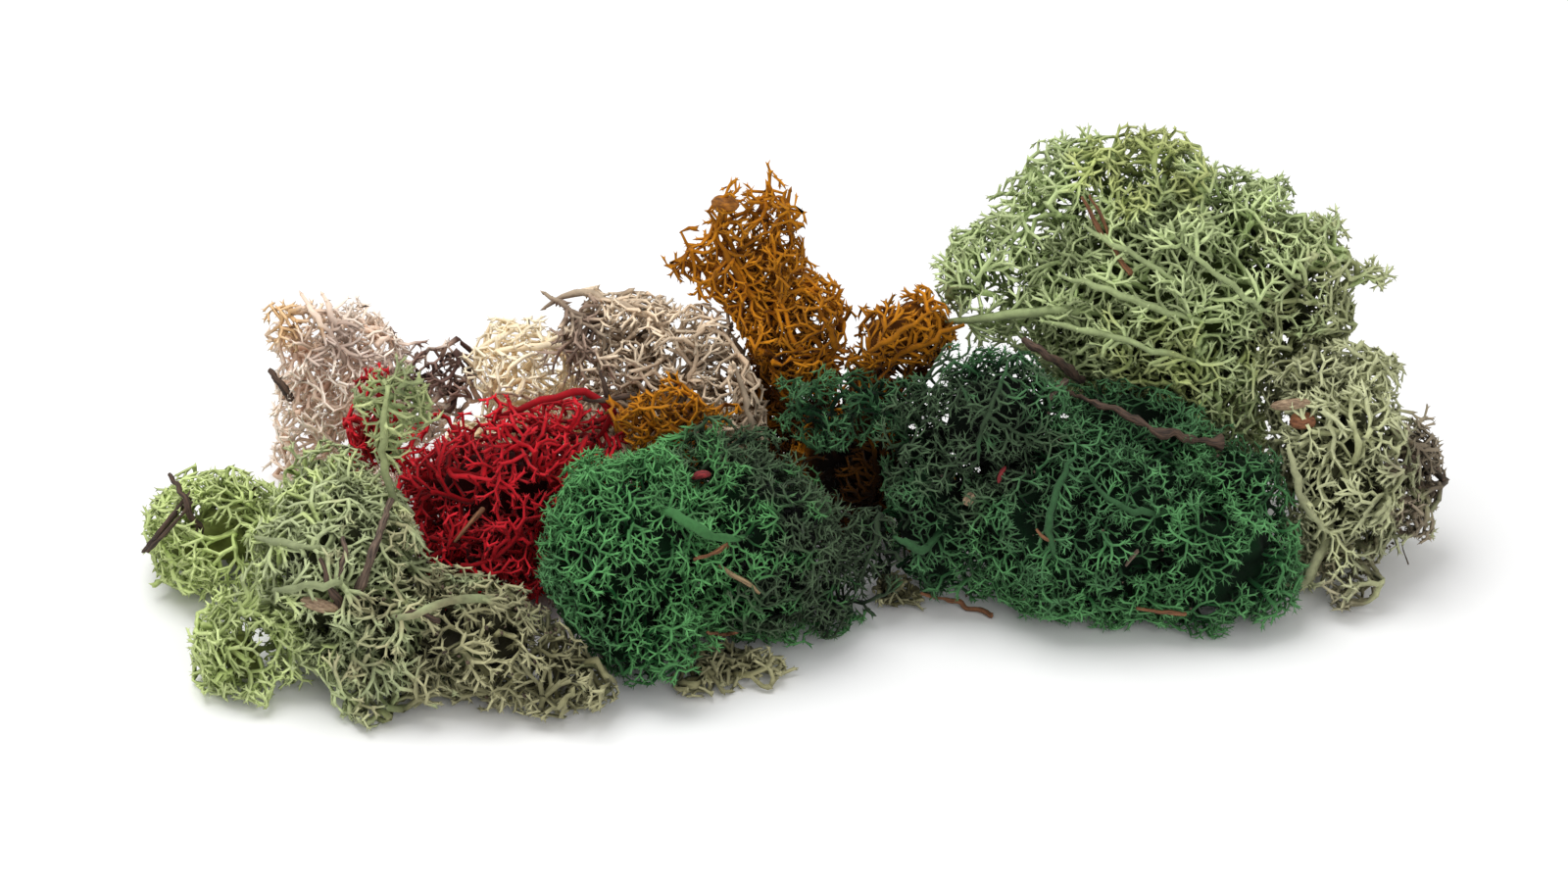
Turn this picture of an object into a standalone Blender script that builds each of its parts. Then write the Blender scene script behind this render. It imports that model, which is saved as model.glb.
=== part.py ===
"""Reindeer moss clump: a loose heap of dyed, preserved reindeer lichen, about 0.3 m wide.

Each dyed tuft is one solid: a dense heart of packed stems, thicker stems that show at the
surface, and forked branches and shoots that stand out of it all round. Dry twigs, needles and a
bud scale caught in the lichen are solids of their own, sunk in holes in the tufts that hold them.

All sizes below are millimetres, with +Z up, +X to the right and the heap's front towards -Y.
"""

import math
import random
from dataclasses import dataclass

import bmesh
import bpy
import numpy as np
from mathutils import Matrix, Vector, noise

MM = 0.001

# Canopy: the open layer of forked limbs between a lobe's outline and its dense heart
CANOPY_DEPTH = 11.0
CANOPY_SHARE = 0.5
FOOT_DEPTH = 6.0
GROUNDED_BELOW = 6.0

# The heart: the size of its facets, how far its lobes blend, and how uneven it is
HEART_CELL = 9.3
BLEND = 1.2
ROUGHNESS = 0.8
ROUGHNESS_SCALE = 0.11
LIMB_RADIUS = 3.6
CORD_RADIUS = 2.0
SLOPE_STEP = 0.25
CARVED = 0.1
PROJECTIONS = 3
MOST_PROJECTION = 2.5
LEAST_SLOPE = 0.2

# Clear space between one tuft and the next, and round a twig in its hole
HEART_INSET = 0.3
TUFT_GAP = 1.1
TWIG_CLEARANCE = 1.0
HOLE_GAP = 0.35
GROUND_CLEARANCE = 0.8
HEART_CLEARANCE = 0.5

# A branch: a stem with three arms of three spikes. Lengths are shares of its height
BRANCH_SPACING = 13.5
BRANCH_STRETCH = (1.25, 1.6)
BRANCH_EXTRA = 2.5
BRANCH_FULL_SIZE = 12.0
SMALLEST_BRANCH = 7.5
ROOT_SUNK = 4.0
ROOT_RADIUS = 2.3
COLLAR = 1.5
BRANCH_STEM = 0.36
BRANCH_RADIUS = 1.6
ARM_SHARE = 0.38
ARM_RADIUS = 1.2
ARM_TILT = math.radians(52)
TWIG_SHARE = 0.34
TWIG_TILT = math.radians(46)
BRANCH_LEAN = 0.25
ARM_RISE = 0.8
TWIG_RISE = 0.6
ARM_VARIATION = (0.8, 1.15)
TWIG_VARIATION = (0.8, 1.2)
FORK_VARIATION = (0.75, 1.15)

# A shoot: a facet of the heart drawn out to a stem that forks in four spikes
SHOOT_SPACING = 12.0
SHOOT_STRETCH = (0.9, 1.2)
SHOOT_EXTRA = 1.0
SHOOT_FULL_SIZE = 13.0
SMALLEST_SHOOT = 4.5
SHOOT_STEM = 0.4
SHOOT_RADIUS = 1.7
SPIKE_SHARE = 0.66
SPIKE_TILT = math.radians(42)
SHOOT_LEAN = 0.2
TILT_VARIATION = (0.6, 1.3)
SPIKE_VARIATION = (0.75, 1.2)
STUB_STRETCH = (0.55, 0.95)
STUB_EXTRA = 1.5

# How branches and shoots are tried out for room
SHRINK_STEPS = (1.0, 0.85, 0.7, 0.55)
LIMB_SAMPLES = 4
LIMB_CLEARANCE = 1.8
FOOT_SHARE = 0.3

# Thick stems and twigs: their sides, how thin the free end is, and how rough each material is
STEM_SIDES = 5
STEM_TIP = 0.75
TWIG_TIP = 0.8
TUFT_ROUGHNESS = 0.9
TWIG_ROUGHNESS = 0.8

SLAB_SIZE = (0.6, 0.6, 0.06)
SEED = 20


@dataclass(frozen=True)
class Stem:
    """A thick stem of a tuft that shows at the surface: its path and its thickness."""

    path: tuple
    thickness: float


@dataclass(frozen=True)
class Tuft:
    """One dyed tuft: lobes as (x, y, z, x radius, y radius, z radius), the size of its heart's
    facets, and which random draw covers it, chosen so that no two points just touch."""

    name: str
    colour: tuple
    lobes: tuple
    cell: float = HEART_CELL
    draw: int = 0
    stems: tuple = ()


@dataclass(frozen=True)
class Twig:
    """A dry twig, needle or strip caught in the lichen: its path, thickness and colour."""

    name: str
    path: tuple
    thickness: float
    colour: tuple


LIME = (0.42, 0.52, 0.20)
MAUVE = (0.45, 0.36, 0.30)
RED = (0.45, 0.02, 0.03)
CREAM = (0.72, 0.58, 0.37)
BEIGE = (0.58, 0.48, 0.38)
OCHRE = (0.55, 0.24, 0.02)
EMERALD = (0.04, 0.22, 0.08)
PALE_GREEN = (0.42, 0.56, 0.28)
SAGE = (0.34, 0.38, 0.20)
OLIVE = (0.20, 0.19, 0.09)
BARK = (0.09, 0.055, 0.04)
NEEDLE = (0.24, 0.11, 0.05)

TUFTS = (
    Tuft(
        "lime_tuft",
        LIME,
        (
            (-89, -30, 21, 31, 28, 20),
            (-136, 4, 13, 19, 18, 16),
            (-123, -42, 10, 12, 12, 13),
            (-106, -6, 26, 16, 16, 13),
            (-71, -42, 13, 21, 18, 13),
            (-50, -50, 8, 15, 12, 9),
            (-87, -56, 4, 7, 6, 6),
            (-88, -11, 51, 9, 7, 12),
        ),
        stems=(
            Stem(((-89, -46, 22), (-84, -54, 26), (-75, -52, 29), (-66, -46, 26), (-62, -42, 18)), 2.2),
            Stem(((-89, -11, 58), (-87, -15, 50), (-87, -17, 42), (-90, -14, 32)), 2.4),
        ),
    ),
    Tuft(
        "mauve_tuft",
        MAUVE,
        (
            (-107, 49, 30, 18, 17, 18),
            (-104, 52, 12, 14, 13, 14),
            (-120, 46, 9, 9, 9, 11),
            (-89, 52, 21, 9, 9, 10),
            (-119, 50, 43, 10, 8, 7),
        ),
        cell=7.5,
        stems=(
            Stem(((-117, 50, 52), (-111, 43, 47), (-106, 40, 40), (-104, 44, 32)), 1.9),
            Stem(((-112, 52, 51), (-108, 46, 45), (-104, 46, 36)), 2.1),
        ),
    ),
    Tuft(
        "red_tuft",
        RED,
        (
            (-68, 2, 27, 24, 17, 22),
            (-70, 2, 12, 15, 11, 14),
            (-97, 14, 37, 7, 8, 14),
            (-48, 8, 38, 13, 9, 9),
            (-75, -14, 19, 14, 9, 12),
        ),
        cell=7.0,
        stems=(Stem(((-70, 8, 40), (-59, 5, 47), (-48, 7, 49), (-40, 9, 43), (-44, 9, 36)), 1.9),),
    ),
    Tuft(
        "cream_tuft",
        CREAM,
        (
            (-64, 46, 35, 17, 12, 12),
            (-58, 44, 26, 14, 12, 10),
            (-54, 50, 13, 12, 11, 15),
        ),
        cell=7.5,
        stems=(Stem(((-71, 41, 41), (-61, 40, 43), (-52, 43, 41), (-54, 46, 33)), 2.0),),
    ),
    Tuft(
        "beige_tuft",
        BEIGE,
        (
            (-19, 30, 44, 17, 14, 17),
            (-36, 36, 48, 20, 15, 12),
            (-38, 34, 34, 17, 13, 10),
            (-28, 40, 17, 17, 13, 19),
        ),
        cell=7.5,
        draw=8,
        stems=(Stem(((-57, 40, 54), (-50, 40, 58), (-42, 36, 58), (-33, 31, 57), (-24, 32, 48)), 1.9),),
    ),
    Tuft(
        "ochre_tuft",
        OCHRE,
        (
            (2, 33, 52, 17, 15, 17),
            (0, 40, 20, 13, 12, 22),
            (8, 30, 46, 12, 12, 14),
            (-13, 36, 68, 9, 8, 10),
            (-4, 36, 77, 8, 8, 13),
        ),
        cell=7.5,
        stems=(
            Stem(((-15, 32, 75), (-9, 29, 65), (-2, 27, 54)), 2.0),
            Stem(((9, 22, 61), (12, 21, 54), (9, 27, 44)), 1.9),
        ),
    ),
    Tuft(
        "ochre_side_tuft",
        OCHRE,
        (
            (27, 24, 56, 14, 10, 12),
            (21, 22, 33, 14, 11, 18),
            (22, 26, 12, 11, 10, 14),
        ),
        cell=7.5,
        draw=2,
        stems=(Stem(((24, 20, 50), (31, 15, 59), (42, 19, 61)), 1.8),),
    ),
    Tuft(
        "ochre_front_tuft",
        OCHRE,
        (
            (-28, 6, 43, 14, 10, 8),
            (-28, 11, 24, 9, 8, 12),
            (-28, 12, 8, 8, 7, 11),
        ),
        cell=7.5,
    ),
    Tuft(
        "emerald_front_tuft",
        EMERALD,
        (
            (-36, -28, 26, 22, 22, 25),
            (-7, -20, 23, 21, 19, 24),
            (-17, -8, 39, 18, 12, 8),
            (-32, -42, 12, 16, 12, 12),
            (11, -18, 10, 10, 12, 14),
        ),
        stems=(Stem(((-31, -31, 42), (-24, -38, 43), (-16, -37, 38), (-9, -31, 35)), 2.6),),
    ),
    Tuft(
        "emerald_right_tuft",
        EMERALD,
        (
            (71, -8, 22, 34, 25, 27),
            (49, 2, 45, 18, 15, 19),
            (100, -12, 15, 22, 18, 19),
            (36, -4, 20, 14, 14, 21),
            (80, 8, 37, 21, 15, 13),
            (16, 6, 47, 16, 10, 10),
        ),
        stems=(
            Stem(((38, -9, 26), (33, -16, 21), (26, -17, 24)), 2.2),
            Stem(((95, -6, 30), (88, -18, 32), (78, -24, 36), (70, -20, 40)), 2.0),
        ),
    ),
    Tuft(
        "pale_green_tuft",
        PALE_GREEN,
        (
            (91, 34, 58, 37, 24, 29),
            (95, 44, 23, 26, 16, 25),
            (72, 40, 85, 18, 13, 14),
            (51, 32, 66, 17, 13, 18),
            (122, 34, 61, 18, 15, 24),
            (107, 40, 80, 17, 12, 12),
            (89, 40, 90, 13, 10, 10),
            (139, 34, 66, 7, 5, 5),
        ),
        stems=(
            Stem(((38, 24, 59), (50, 18, 63), (64, 18, 65), (76, 20, 63)), 2.6),
            Stem(((66, 22, 80), (80, 18, 81), (95, 20, 78), (104, 26, 70)), 2.0),
            Stem(((118, 14, 70), (104, 9, 66), (92, 11, 58), (90, 18, 50)), 2.0),
        ),
    ),
    Tuft(
        "sage_tuft",
        SAGE,
        (
            (133, 10, 24, 19, 19, 26),
            (127, 16, 44, 16, 14, 14),
            (151, 16, 20, 8, 10, 15),
            (132, -6, 7, 10, 10, 9),
        ),
        cell=7.5,
        stems=(Stem(((116, -9, 6), (122, -10, 8), (126, -6, 14), (129, 2, 22)), 2.6),),
    ),
    Tuft("olive_front_tuft", OLIVE, ((-14, -39, 3, 11, 9, 7),), cell=4.5),
    Tuft("olive_middle_tuft", OLIVE, ((24, -14, 5, 10, 9, 8),), cell=4.5),
)

TWIGS = (
    Twig("twig_left_upper", ((-148, 0, 34), (-143, -4, 28), (-138, -6, 21), (-135, 0, 11)), 1.8, BARK),
    Twig("twig_left_lower", ((-151, -10, 14), (-146, -12, 20), (-138, -12, 26), (-130, -4, 22)), 1.6, BARK),
    Twig("stick_lime_long", ((-88, -33, 46), (-91, -44, 40), (-94, -50, 32), (-92, -38, 20)), 2.0, BARK),
    Twig("stick_lime_short", ((-104, -44, 37), (-101, -49, 34), (-96, -46, 28), (-92, -34, 22)), 1.6, BARK),
    Twig("needle_red", ((-77, -19, 27), (-72, -17, 31), (-68, -8, 33), (-64, 4, 30)), 1.2, NEEDLE),
    Twig("stick_mauve", ((-125, 38, 38), (-119, 36, 33), (-110, 46, 28)), 1.6, BARK),
    Twig("twig_front", ((-19, -42, 30), (-13, -41, 27), (-7, -36, 24), (-6, -24, 22)), 1.5, NEEDLE),
    Twig("stick_emerald", ((55, -2, 64), (61, 0, 61), (68, 3, 52), (72, 6, 40)), 2.4, BARK),
    Twig("root_emerald", ((68, -4, 50), (76, -6, 49), (88, -4, 46), (98, 2, 40), (90, 6, 30)), 2.2, NEEDLE),
    Twig("twig_base", ((30, -20, 3), (42, -27, 3), (56, -29, 4), (66, -20, 8)), 1.4, NEEDLE),
    Twig("needle_pale_green", ((69, 25, 91), (73, 20, 84), (79, 14, 77), (86, 24, 64)), 1.2, NEEDLE),
    Twig("bud_scale", ((118, 3, 44), (121, 1, 44), (124, 4, 43), (127, 12, 42)), 3.2, NEEDLE),
)


def clear_scene():
    """Removes every object, so that the model starts from nothing."""
    for obj in list(bpy.data.objects):
        bpy.data.objects.remove(obj, do_unlink=True)


def make_material(name, colour, roughness):
    """A matte, non-metallic material of one colour."""
    material = bpy.data.materials.new(name)
    material.use_nodes = True
    shader = material.node_tree.nodes["Principled BSDF"]
    shader.inputs["Base Color"].default_value = (*colour, 1.0)
    shader.inputs["Roughness"].default_value = roughness
    shader.inputs["Metallic"].default_value = 0.0
    return material


def reach(tuft, points):
    """How far each point lies outside the tuft's lobes, in mm; negative inside them."""
    lobes = np.array(tuft.lobes, float)
    centres, radii = lobes[:, :3], lobes[:, 3:]
    scaled = (points[:, None, :] - centres) / radii
    distance = (np.linalg.norm(scaled, axis=2) - 1.0) * radii.min(axis=1)
    return distance.min(axis=1)


def twig_distance(points):
    """The distance from each point to the surface of the nearest twig, in mm."""
    nearest = np.full(len(points), np.inf)
    for twig in TWIGS:
        for start, end in zip(twig.path[:-1], twig.path[1:]):
            gap = distance_to_segment(points, start, end) - twig.thickness / 2
            nearest = np.minimum(nearest, gap)
    return nearest


def is_free(tuft, points, from_twigs=False):
    """Whether each point is nearer to this tuft's lobes than to any other tuft's, by the gap."""
    own = reach(tuft, points)
    others = np.min([reach(other, points) for other in TUFTS if other is not tuft], axis=0)
    free = own + TUFT_GAP < others
    if from_twigs:
        free &= twig_distance(points) > TWIG_CLEARANCE
    return free


def heart_radii(tuft, lobe, below):
    """The heart's radii at points of a lobe: the lobe's less its canopy, and down to the ground
    under a lobe that stands on it. Below marks the points under the lobe's centre."""
    radii = np.array(lobe[3:], float)
    radii = radii - np.minimum(CANOPY_DEPTH, CANOPY_SHARE * radii)
    radii = np.tile(radii, (len(below), 1))
    if lobe[2] - lobe[5] < GROUNDED_BELOW:
        radii[below, 2] = lobe[2] + FOOT_DEPTH
    return radii


def limbs(tuft):
    """The pairs of lobe centres that a limb joins: each lobe to the nearest before it."""
    centres = [Vector(lobe[:3]) for lobe in tuft.lobes]
    pairs = []
    for index in range(1, len(centres)):
        nearest = min(centres[:index], key=lambda other: (other - centres[index]).length)
        pairs.append((nearest, centres[index]))
    return pairs


def distance_to_segment(points, start, end):
    """The distance from each point to a straight segment."""
    start, along = np.array(start), np.array(end) - np.array(start)
    share = np.clip(((points - start) @ along) / (along @ along), 0.0, 1.0)
    return np.linalg.norm(points - start - share[:, None] * along, axis=1)


def heart_field(tuft, points):
    """Where a tuft's dense heart is: negative inside it, and roughly the distance to it outside.
    Lobes and the limbs between them blend; the heart stops short of every neighbour."""
    bodies = []
    for lobe in tuft.lobes:
        offset = points - np.array(lobe[:3], float)
        radii = heart_radii(tuft, lobe, offset[:, 2] < 0)
        bodies.append((np.linalg.norm(offset / radii, axis=1) - 1.0) * radii.min(axis=1))
    for start, end in limbs(tuft):
        bodies.append(distance_to_segment(points, start, end) - LIMB_RADIUS)
    bodies = np.array(bodies)
    closest = bodies.min(axis=0)
    blended = closest - BLEND * np.log(np.exp((closest - bodies) / BLEND).sum(axis=0))
    rough = np.array([noise.noise(Vector(point) * ROUGHNESS_SCALE) for point in points])
    others = np.min([reach(other, points) for other in TUFTS if other is not tuft], axis=0)
    wall = (reach(tuft, points) + TUFT_GAP - others) / 2
    return np.maximum(blended + ROUGHNESS * rough, wall + HEART_INSET)


def heart_slope(tuft, points):
    """The heart field's gradient at each point."""
    slopes = []
    for step in np.eye(3) * SLOPE_STEP:
        rise = heart_field(tuft, points + step) - heart_field(tuft, points - step)
        slopes.append(rise / (2 * SLOPE_STEP))
    return np.stack(slopes, axis=1)


def is_pinched(block):
    """Whether the inside corners of a grid cell touch each other only across a diagonal."""
    for axis in range(3):
        for side in range(2):
            face = block.take(side, axis=axis)
            if face[0, 0] == face[1, 1] and face[0, 1] == face[1, 0] and face[0, 0] != face[0, 1]:
                return True
    opposite = (block == block[::-1, ::-1, ::-1]).all()
    return bool(opposite and block.sum() in (2, 6))


def carve_pinches(value):
    """Takes grid corners out of the heart until no cell is pinched, the shallowest corner first."""
    changed = True
    while changed:
        changed = False
        for cell in np.ndindex(*(count - 1 for count in value.shape)):
            block = tuple(slice(c, c + 2) for c in cell)
            if not is_pinched(value[block] < 0):
                continue
            depths = np.where(value[block] < 0, value[block], -np.inf)
            corner = np.unravel_index(depths.argmax(), depths.shape)
            value[tuple(c + k for c, k in zip(cell, corner))] = CARVED
            changed = True


def heart_places(tuft, corners, value):
    """One point on the heart's surface for each grid cell that it crosses, keyed by the cell."""
    inside = value < 0
    cells, places = [], []
    for cell in np.ndindex(*(count - 1 for count in value.shape)):
        block = tuple(slice(c, c + 2) for c in cell)
        if inside[block].all() or not inside[block].any():
            continue
        nearness = 1.0 / (np.abs(value[block]) + 0.5)
        weights = nearness / nearness.sum()
        cells.append(cell)
        places.append((corners[block] * weights[..., None]).sum(axis=(0, 1, 2)))
    places = np.array(places)
    for _ in range(PROJECTIONS):
        slope = heart_slope(tuft, places)
        step = heart_field(tuft, places) / np.maximum((slope**2).sum(axis=1), LEAST_SLOPE)
        places = places - np.clip(step, -MOST_PROJECTION, MOST_PROJECTION)[:, None] * slope
    return dict(zip(cells, places))


def heart_mesh(tuft):
    """The heart's surface by naive surface nets: one vertex in each grid cell that the surface
    crosses, drawn onto it, and one quad round each grid edge that it crosses."""
    lobes = np.array(tuft.lobes, float)
    low = (lobes[:, :3] - lobes[:, 3:]).min(axis=0) - 2 * tuft.cell
    high = (lobes[:, :3] + lobes[:, 3:]).max(axis=0) + 2 * tuft.cell
    low[2] = min(low[2], -2 * tuft.cell)
    counts = np.ceil((high - low) / tuft.cell).astype(int) + 1
    grid = np.stack(np.meshgrid(*[np.arange(count) for count in counts], indexing="ij"), axis=-1)
    corners = low + grid * tuft.cell
    value = heart_field(tuft, corners.reshape(-1, 3)).reshape(counts)
    carve_pinches(value)

    bm = bmesh.new()
    vertex_of = {cell: bm.verts.new(place) for cell, place in heart_places(tuft, corners, value).items()}
    for axis in range(3):
        side, up = (axis + 1) % 3, (axis + 2) % 3
        for edge in np.argwhere(np.diff((value < 0).astype(int), axis=axis) != 0):
            around = []
            for back_side, back_up in ((1, 1), (0, 1), (0, 0), (1, 0)):
                cell = edge.copy()
                cell[side] -= back_side
                cell[up] -= back_up
                around.append(vertex_of[tuple(cell)])
            bm.faces.new(around)
    bmesh.ops.recalc_face_normals(bm, faces=bm.faces[:])
    bm.normal_update()
    return bm


def add_tube(path, radii, sides, place):
    """A stem as one closed tube: a ring of points round each point of its path."""
    points = [Vector(point) for point in path]
    bm = bmesh.new()
    rings = []
    for index, point in enumerate(points):
        before = points[max(index - 1, 0)]
        after = points[min(index + 1, len(points) - 1)]
        turn = (after - before).to_track_quat("Z", "Y").to_matrix()
        corners = (
            Vector((math.cos(angle), math.sin(angle), 0.0)) * radii[index]
            for angle in (2 * math.pi * side / sides for side in range(sides))
        )
        rings.append([bm.verts.new(point + turn @ corner) for corner in corners])
    for ring, following in zip(rings[:-1], rings[1:]):
        for side in range(sides):
            other = (side + 1) % sides
            bm.faces.new((ring[side], ring[other], following[other], following[side]))
    bm.faces.new(list(reversed(rings[0])))
    bm.faces.new(rings[-1])
    return place("stem", bm)


def draw_out(bm, face, direction, length, radius):
    """Extrudes a three-sided face along a direction to a smaller, turned face, and returns it."""
    centre = face.calc_center_median()
    grown = bmesh.ops.extrude_discrete_faces(bm, faces=[face])["faces"][0]
    for vertex in grown.verts:
        spoke = vertex.co - centre
        spoke -= direction * spoke.dot(direction)
        vertex.co = centre + direction * length + spoke.normalized() * radius
    return grown


def draw_point(bm, face, tip):
    """Raises a face to one sharp tip."""
    bmesh.ops.poke(bm, faces=[face])["verts"][0].co = tip


def fork(bm, face, axis, tilt, rise, dice):
    """Splits a face in three and gives each new face with a direction tilted away from the axis."""
    centre = face.calc_center_median()
    poked = bmesh.ops.poke(bm, faces=[face])
    poked["verts"][0].co = centre + axis * rise
    arms = []
    for part in poked["faces"]:
        aside = part.calc_center_median() - centre
        aside = (aside - axis * aside.dot(axis)).normalized()
        angle = tilt * dice.uniform(*FORK_VARIATION)
        arms.append((part, axis * math.cos(angle) + aside * math.sin(angle)))
    return arms


def branch_shape(height, dice):
    """One forked branch growing along +Z from the origin: a stem, three arms, three spikes each.
    Every limb is drawn out of a face of the one before, so the branch is one closed surface."""
    size = min(1.0, height / BRANCH_FULL_SIZE)
    up = Vector((0, 0, 1))
    bm = bmesh.new()
    root = bm.verts.new(up * -ROOT_SUNK)
    turns = [2 * math.pi * third / 3 for third in range(3)]
    spokes = [Vector((math.cos(turn), math.sin(turn), 0.0)) for turn in turns]
    ring = [bm.verts.new(spoke * ROOT_RADIUS * size - up * COLLAR) for spoke in spokes]
    upper = bm.faces.new(ring)
    for first, second in zip(ring, ring[1:] + ring[:1]):
        bm.faces.new((second, first, root))
    stem = draw_out(bm, upper, up, height * BRANCH_STEM + COLLAR, BRANCH_RADIUS * size)
    for face, direction in fork(bm, stem, up, ARM_TILT, ARM_RISE * size, dice):
        length = height * ARM_SHARE * dice.uniform(*ARM_VARIATION)
        arm = draw_out(bm, face, direction, length, ARM_RADIUS * size)
        inner = (direction + up * 0.5).normalized()
        for spike, towards in fork(bm, arm, inner, TWIG_TILT, TWIG_RISE * size, dice):
            reached = height * TWIG_SHARE * dice.uniform(*TWIG_VARIATION)
            draw_point(bm, spike, spike.calc_center_median() + towards * reached)
    return bm


def shoot_plan(foot, direction, height, dice):
    """Where a shoot's stem ends and where its four spikes point, as (stem end, spokes, tips)."""
    stem_end = foot + direction * height * SHOOT_STEM
    turn = direction.to_track_quat("Z", "Y").to_matrix()
    start = dice.uniform(0, math.pi / 2)
    angles = [start + quarter * math.pi / 2 for quarter in range(4)]
    spokes = [turn @ Vector((math.cos(angle), math.sin(angle), 0.0)) for angle in angles]
    tips = []
    for first, second in zip(spokes, spokes[1:] + spokes[:1]):
        tilt = SPIKE_TILT * dice.uniform(*TILT_VARIATION)
        aside = (first + second).normalized()
        towards = direction * math.cos(tilt) + aside * math.sin(tilt)
        tips.append(stem_end + towards * height * SPIKE_SHARE * dice.uniform(*SPIKE_VARIATION))
    return stem_end, spokes, tips


def raise_shoot(heart, face, plan, radius):
    """Draws a facet of the heart out to a narrow stem that forks in four spikes."""
    stem_end, spokes, tips = plan
    end = bmesh.ops.extrude_discrete_faces(heart, faces=[face])["faces"][0]
    corners = [loop.vert for loop in end.loops]
    first = (corners[0].co - end.calc_center_median()).normalized()
    shift = max(range(4), key=lambda k: spokes[k].dot(first))
    for index, corner in enumerate(corners):
        corner.co = stem_end + spokes[(index + shift) % 4] * radius
    for part in bmesh.ops.poke(heart, faces=[end])["faces"]:
        middle = part.calc_center_median() - stem_end
        draw_point(heart, part, min(tips, key=lambda tip: middle.angle(tip - stem_end)))


def has_room(tuft, points, crowded):
    """Whether points keep clear of what is there already, and above the ground."""
    if points[:, 2].min() < GROUND_CLEARANCE or not is_free(tuft, points, from_twigs=True).all():
        return False
    if len(crowded) and np.linalg.norm(points[:, None] - crowded, axis=2).min() < LIMB_CLEARANCE:
        return False
    return bool((heart_field(tuft, points[-4:]) > HEART_CLEARANCE).all())


def lean(normal, most, dice):
    """A direction near a facet's normal."""
    return (normal + Vector([dice.uniform(-most, most) for _ in range(3)])).normalized()


def place_branches(tuft, facets, dice, place):
    """Stands branches on the heart, well apart. Returns the feet of those that found room, and
    the points that they take up."""
    feet, crowded = [], np.empty((0, 3))
    for foot, normal, depth in facets:
        direction = lean(normal, BRANCH_LEAN, dice)
        height = depth * dice.uniform(*BRANCH_STRETCH) + BRANCH_EXTRA
        shape_seed = dice.random()
        if any((foot - other).length < BRANCH_SPACING for other in feet):
            continue
        turn = direction.to_track_quat("Z", "Y").to_matrix().to_4x4()
        spin = Matrix.Rotation(dice.uniform(0, 2 * math.pi), 4, "Z")
        for step in SHRINK_STEPS:
            if height * step < SMALLEST_BRANCH:
                break
            bm = branch_shape(height * step, random.Random(shape_seed))
            bm.transform(Matrix.Translation(foot) @ turn @ spin)
            outer = np.array([v.co for v in bm.verts])
            if has_room(tuft, outer, crowded):
                crowded = np.vstack([crowded, outer])
                place("branch", bm)
                feet.append(foot)
                break
            bm.free()
    return feet, crowded


def place_shoots(tuft, heart, facets, feet, crowded, dice):
    """Raises a shoot or a short stub on every facet of the heart that faces open space and has
    no branch, each clear of the others, of the neighbours, of the twigs and of the ground."""
    faces = {tuple(face.calc_center_median()): face for face in heart.faces}
    feet = list(feet)
    stubs = []
    for foot, normal, depth in facets:
        face = faces[tuple(foot)]
        direction = lean(normal, SHOOT_LEAN, dice)
        height = depth * dice.uniform(*SHOOT_STRETCH) + SHOOT_EXTRA
        near = any((foot - other).length < SHOOT_SPACING for other in feet)
        for step in () if near else SHRINK_STEPS:
            plan = shoot_plan(foot, direction, height * step, dice)
            limbs_at = limb_samples(foot, plan)
            if height * step > SMALLEST_SHOOT and has_room(tuft, limbs_at, crowded):
                crowded = np.vstack([crowded, limbs_at])
                raise_shoot(heart, face, plan, SHOOT_RADIUS * min(1.0, height * step / SHOOT_FULL_SIZE))
                feet.append(foot)
                break
        else:
            rise = depth * dice.uniform(*STUB_STRETCH) + STUB_EXTRA
            stubs.append((face, foot, direction * rise))
    for face, foot, rise in stubs:
        for step in SHRINK_STEPS:
            tip = foot + rise * step
            if has_room(tuft, np.array([tip]), crowded):
                draw_point(heart, face, tip)
                break


def limb_samples(foot, plan):
    """Points along a shoot's stem and spikes, by which its room is judged."""
    stem_end, _, tips = plan
    shares = [(k + 1) / LIMB_SAMPLES for k in range(LIMB_SAMPLES)]
    points = [foot.lerp(stem_end, share) for share in shares if share > FOOT_SHARE]
    points += [stem_end.lerp(tip, share) for share in shares for tip in tips]
    return np.array(points)


def cover_heart(tuft, heart, place):
    """Covers the heart with branches, shoots and stubs, in a seeded order of its facets."""
    dice = random.Random(f"{SEED} {tuft.name} {tuft.draw}")
    centres = [face.calc_center_median() for face in heart.faces]
    normals = [face.normal.copy() for face in heart.faces]
    facets = list(zip(centres, normals, -reach(tuft, np.array(centres))))
    dice.shuffle(facets)
    feet, crowded = place_branches(tuft, facets, dice, place)
    place_shoots(tuft, heart, facets, feet, crowded, dice)


def new_object(name, mesh, collection):
    """Links a mesh to a collection as an object."""
    obj = bpy.data.objects.new(name, mesh)
    collection.objects.link(obj)
    return obj


def as_object(bm, name, collection):
    """Turns a bmesh in millimetres into an object in metres."""
    mesh = bpy.data.meshes.new(name)
    bm.transform(Matrix.Scale(MM, 4))
    bm.to_mesh(mesh)
    bm.free()
    return new_object(name, mesh, collection)


def add_boolean(obj, operation, collection):
    """A Boolean with every object of a collection. A union also joins what crosses itself, so
    that leaning points next to each other fuse."""
    modifier = obj.modifiers.new(operation.lower(), "BOOLEAN")
    modifier.operation = operation
    modifier.operand_type = "COLLECTION"
    modifier.collection = collection
    modifier.solver = "EXACT"
    modifier.use_self = operation == "UNION"


def apply_modifiers(obj):
    """Replaces an object's mesh by what its modifiers make of it."""
    bpy.context.view_layer.update()
    graph = bpy.context.evaluated_depsgraph_get()
    made = bpy.data.meshes.new_from_object(obj.evaluated_get(graph))
    obj.modifiers.clear()
    obj.data = made


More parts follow.
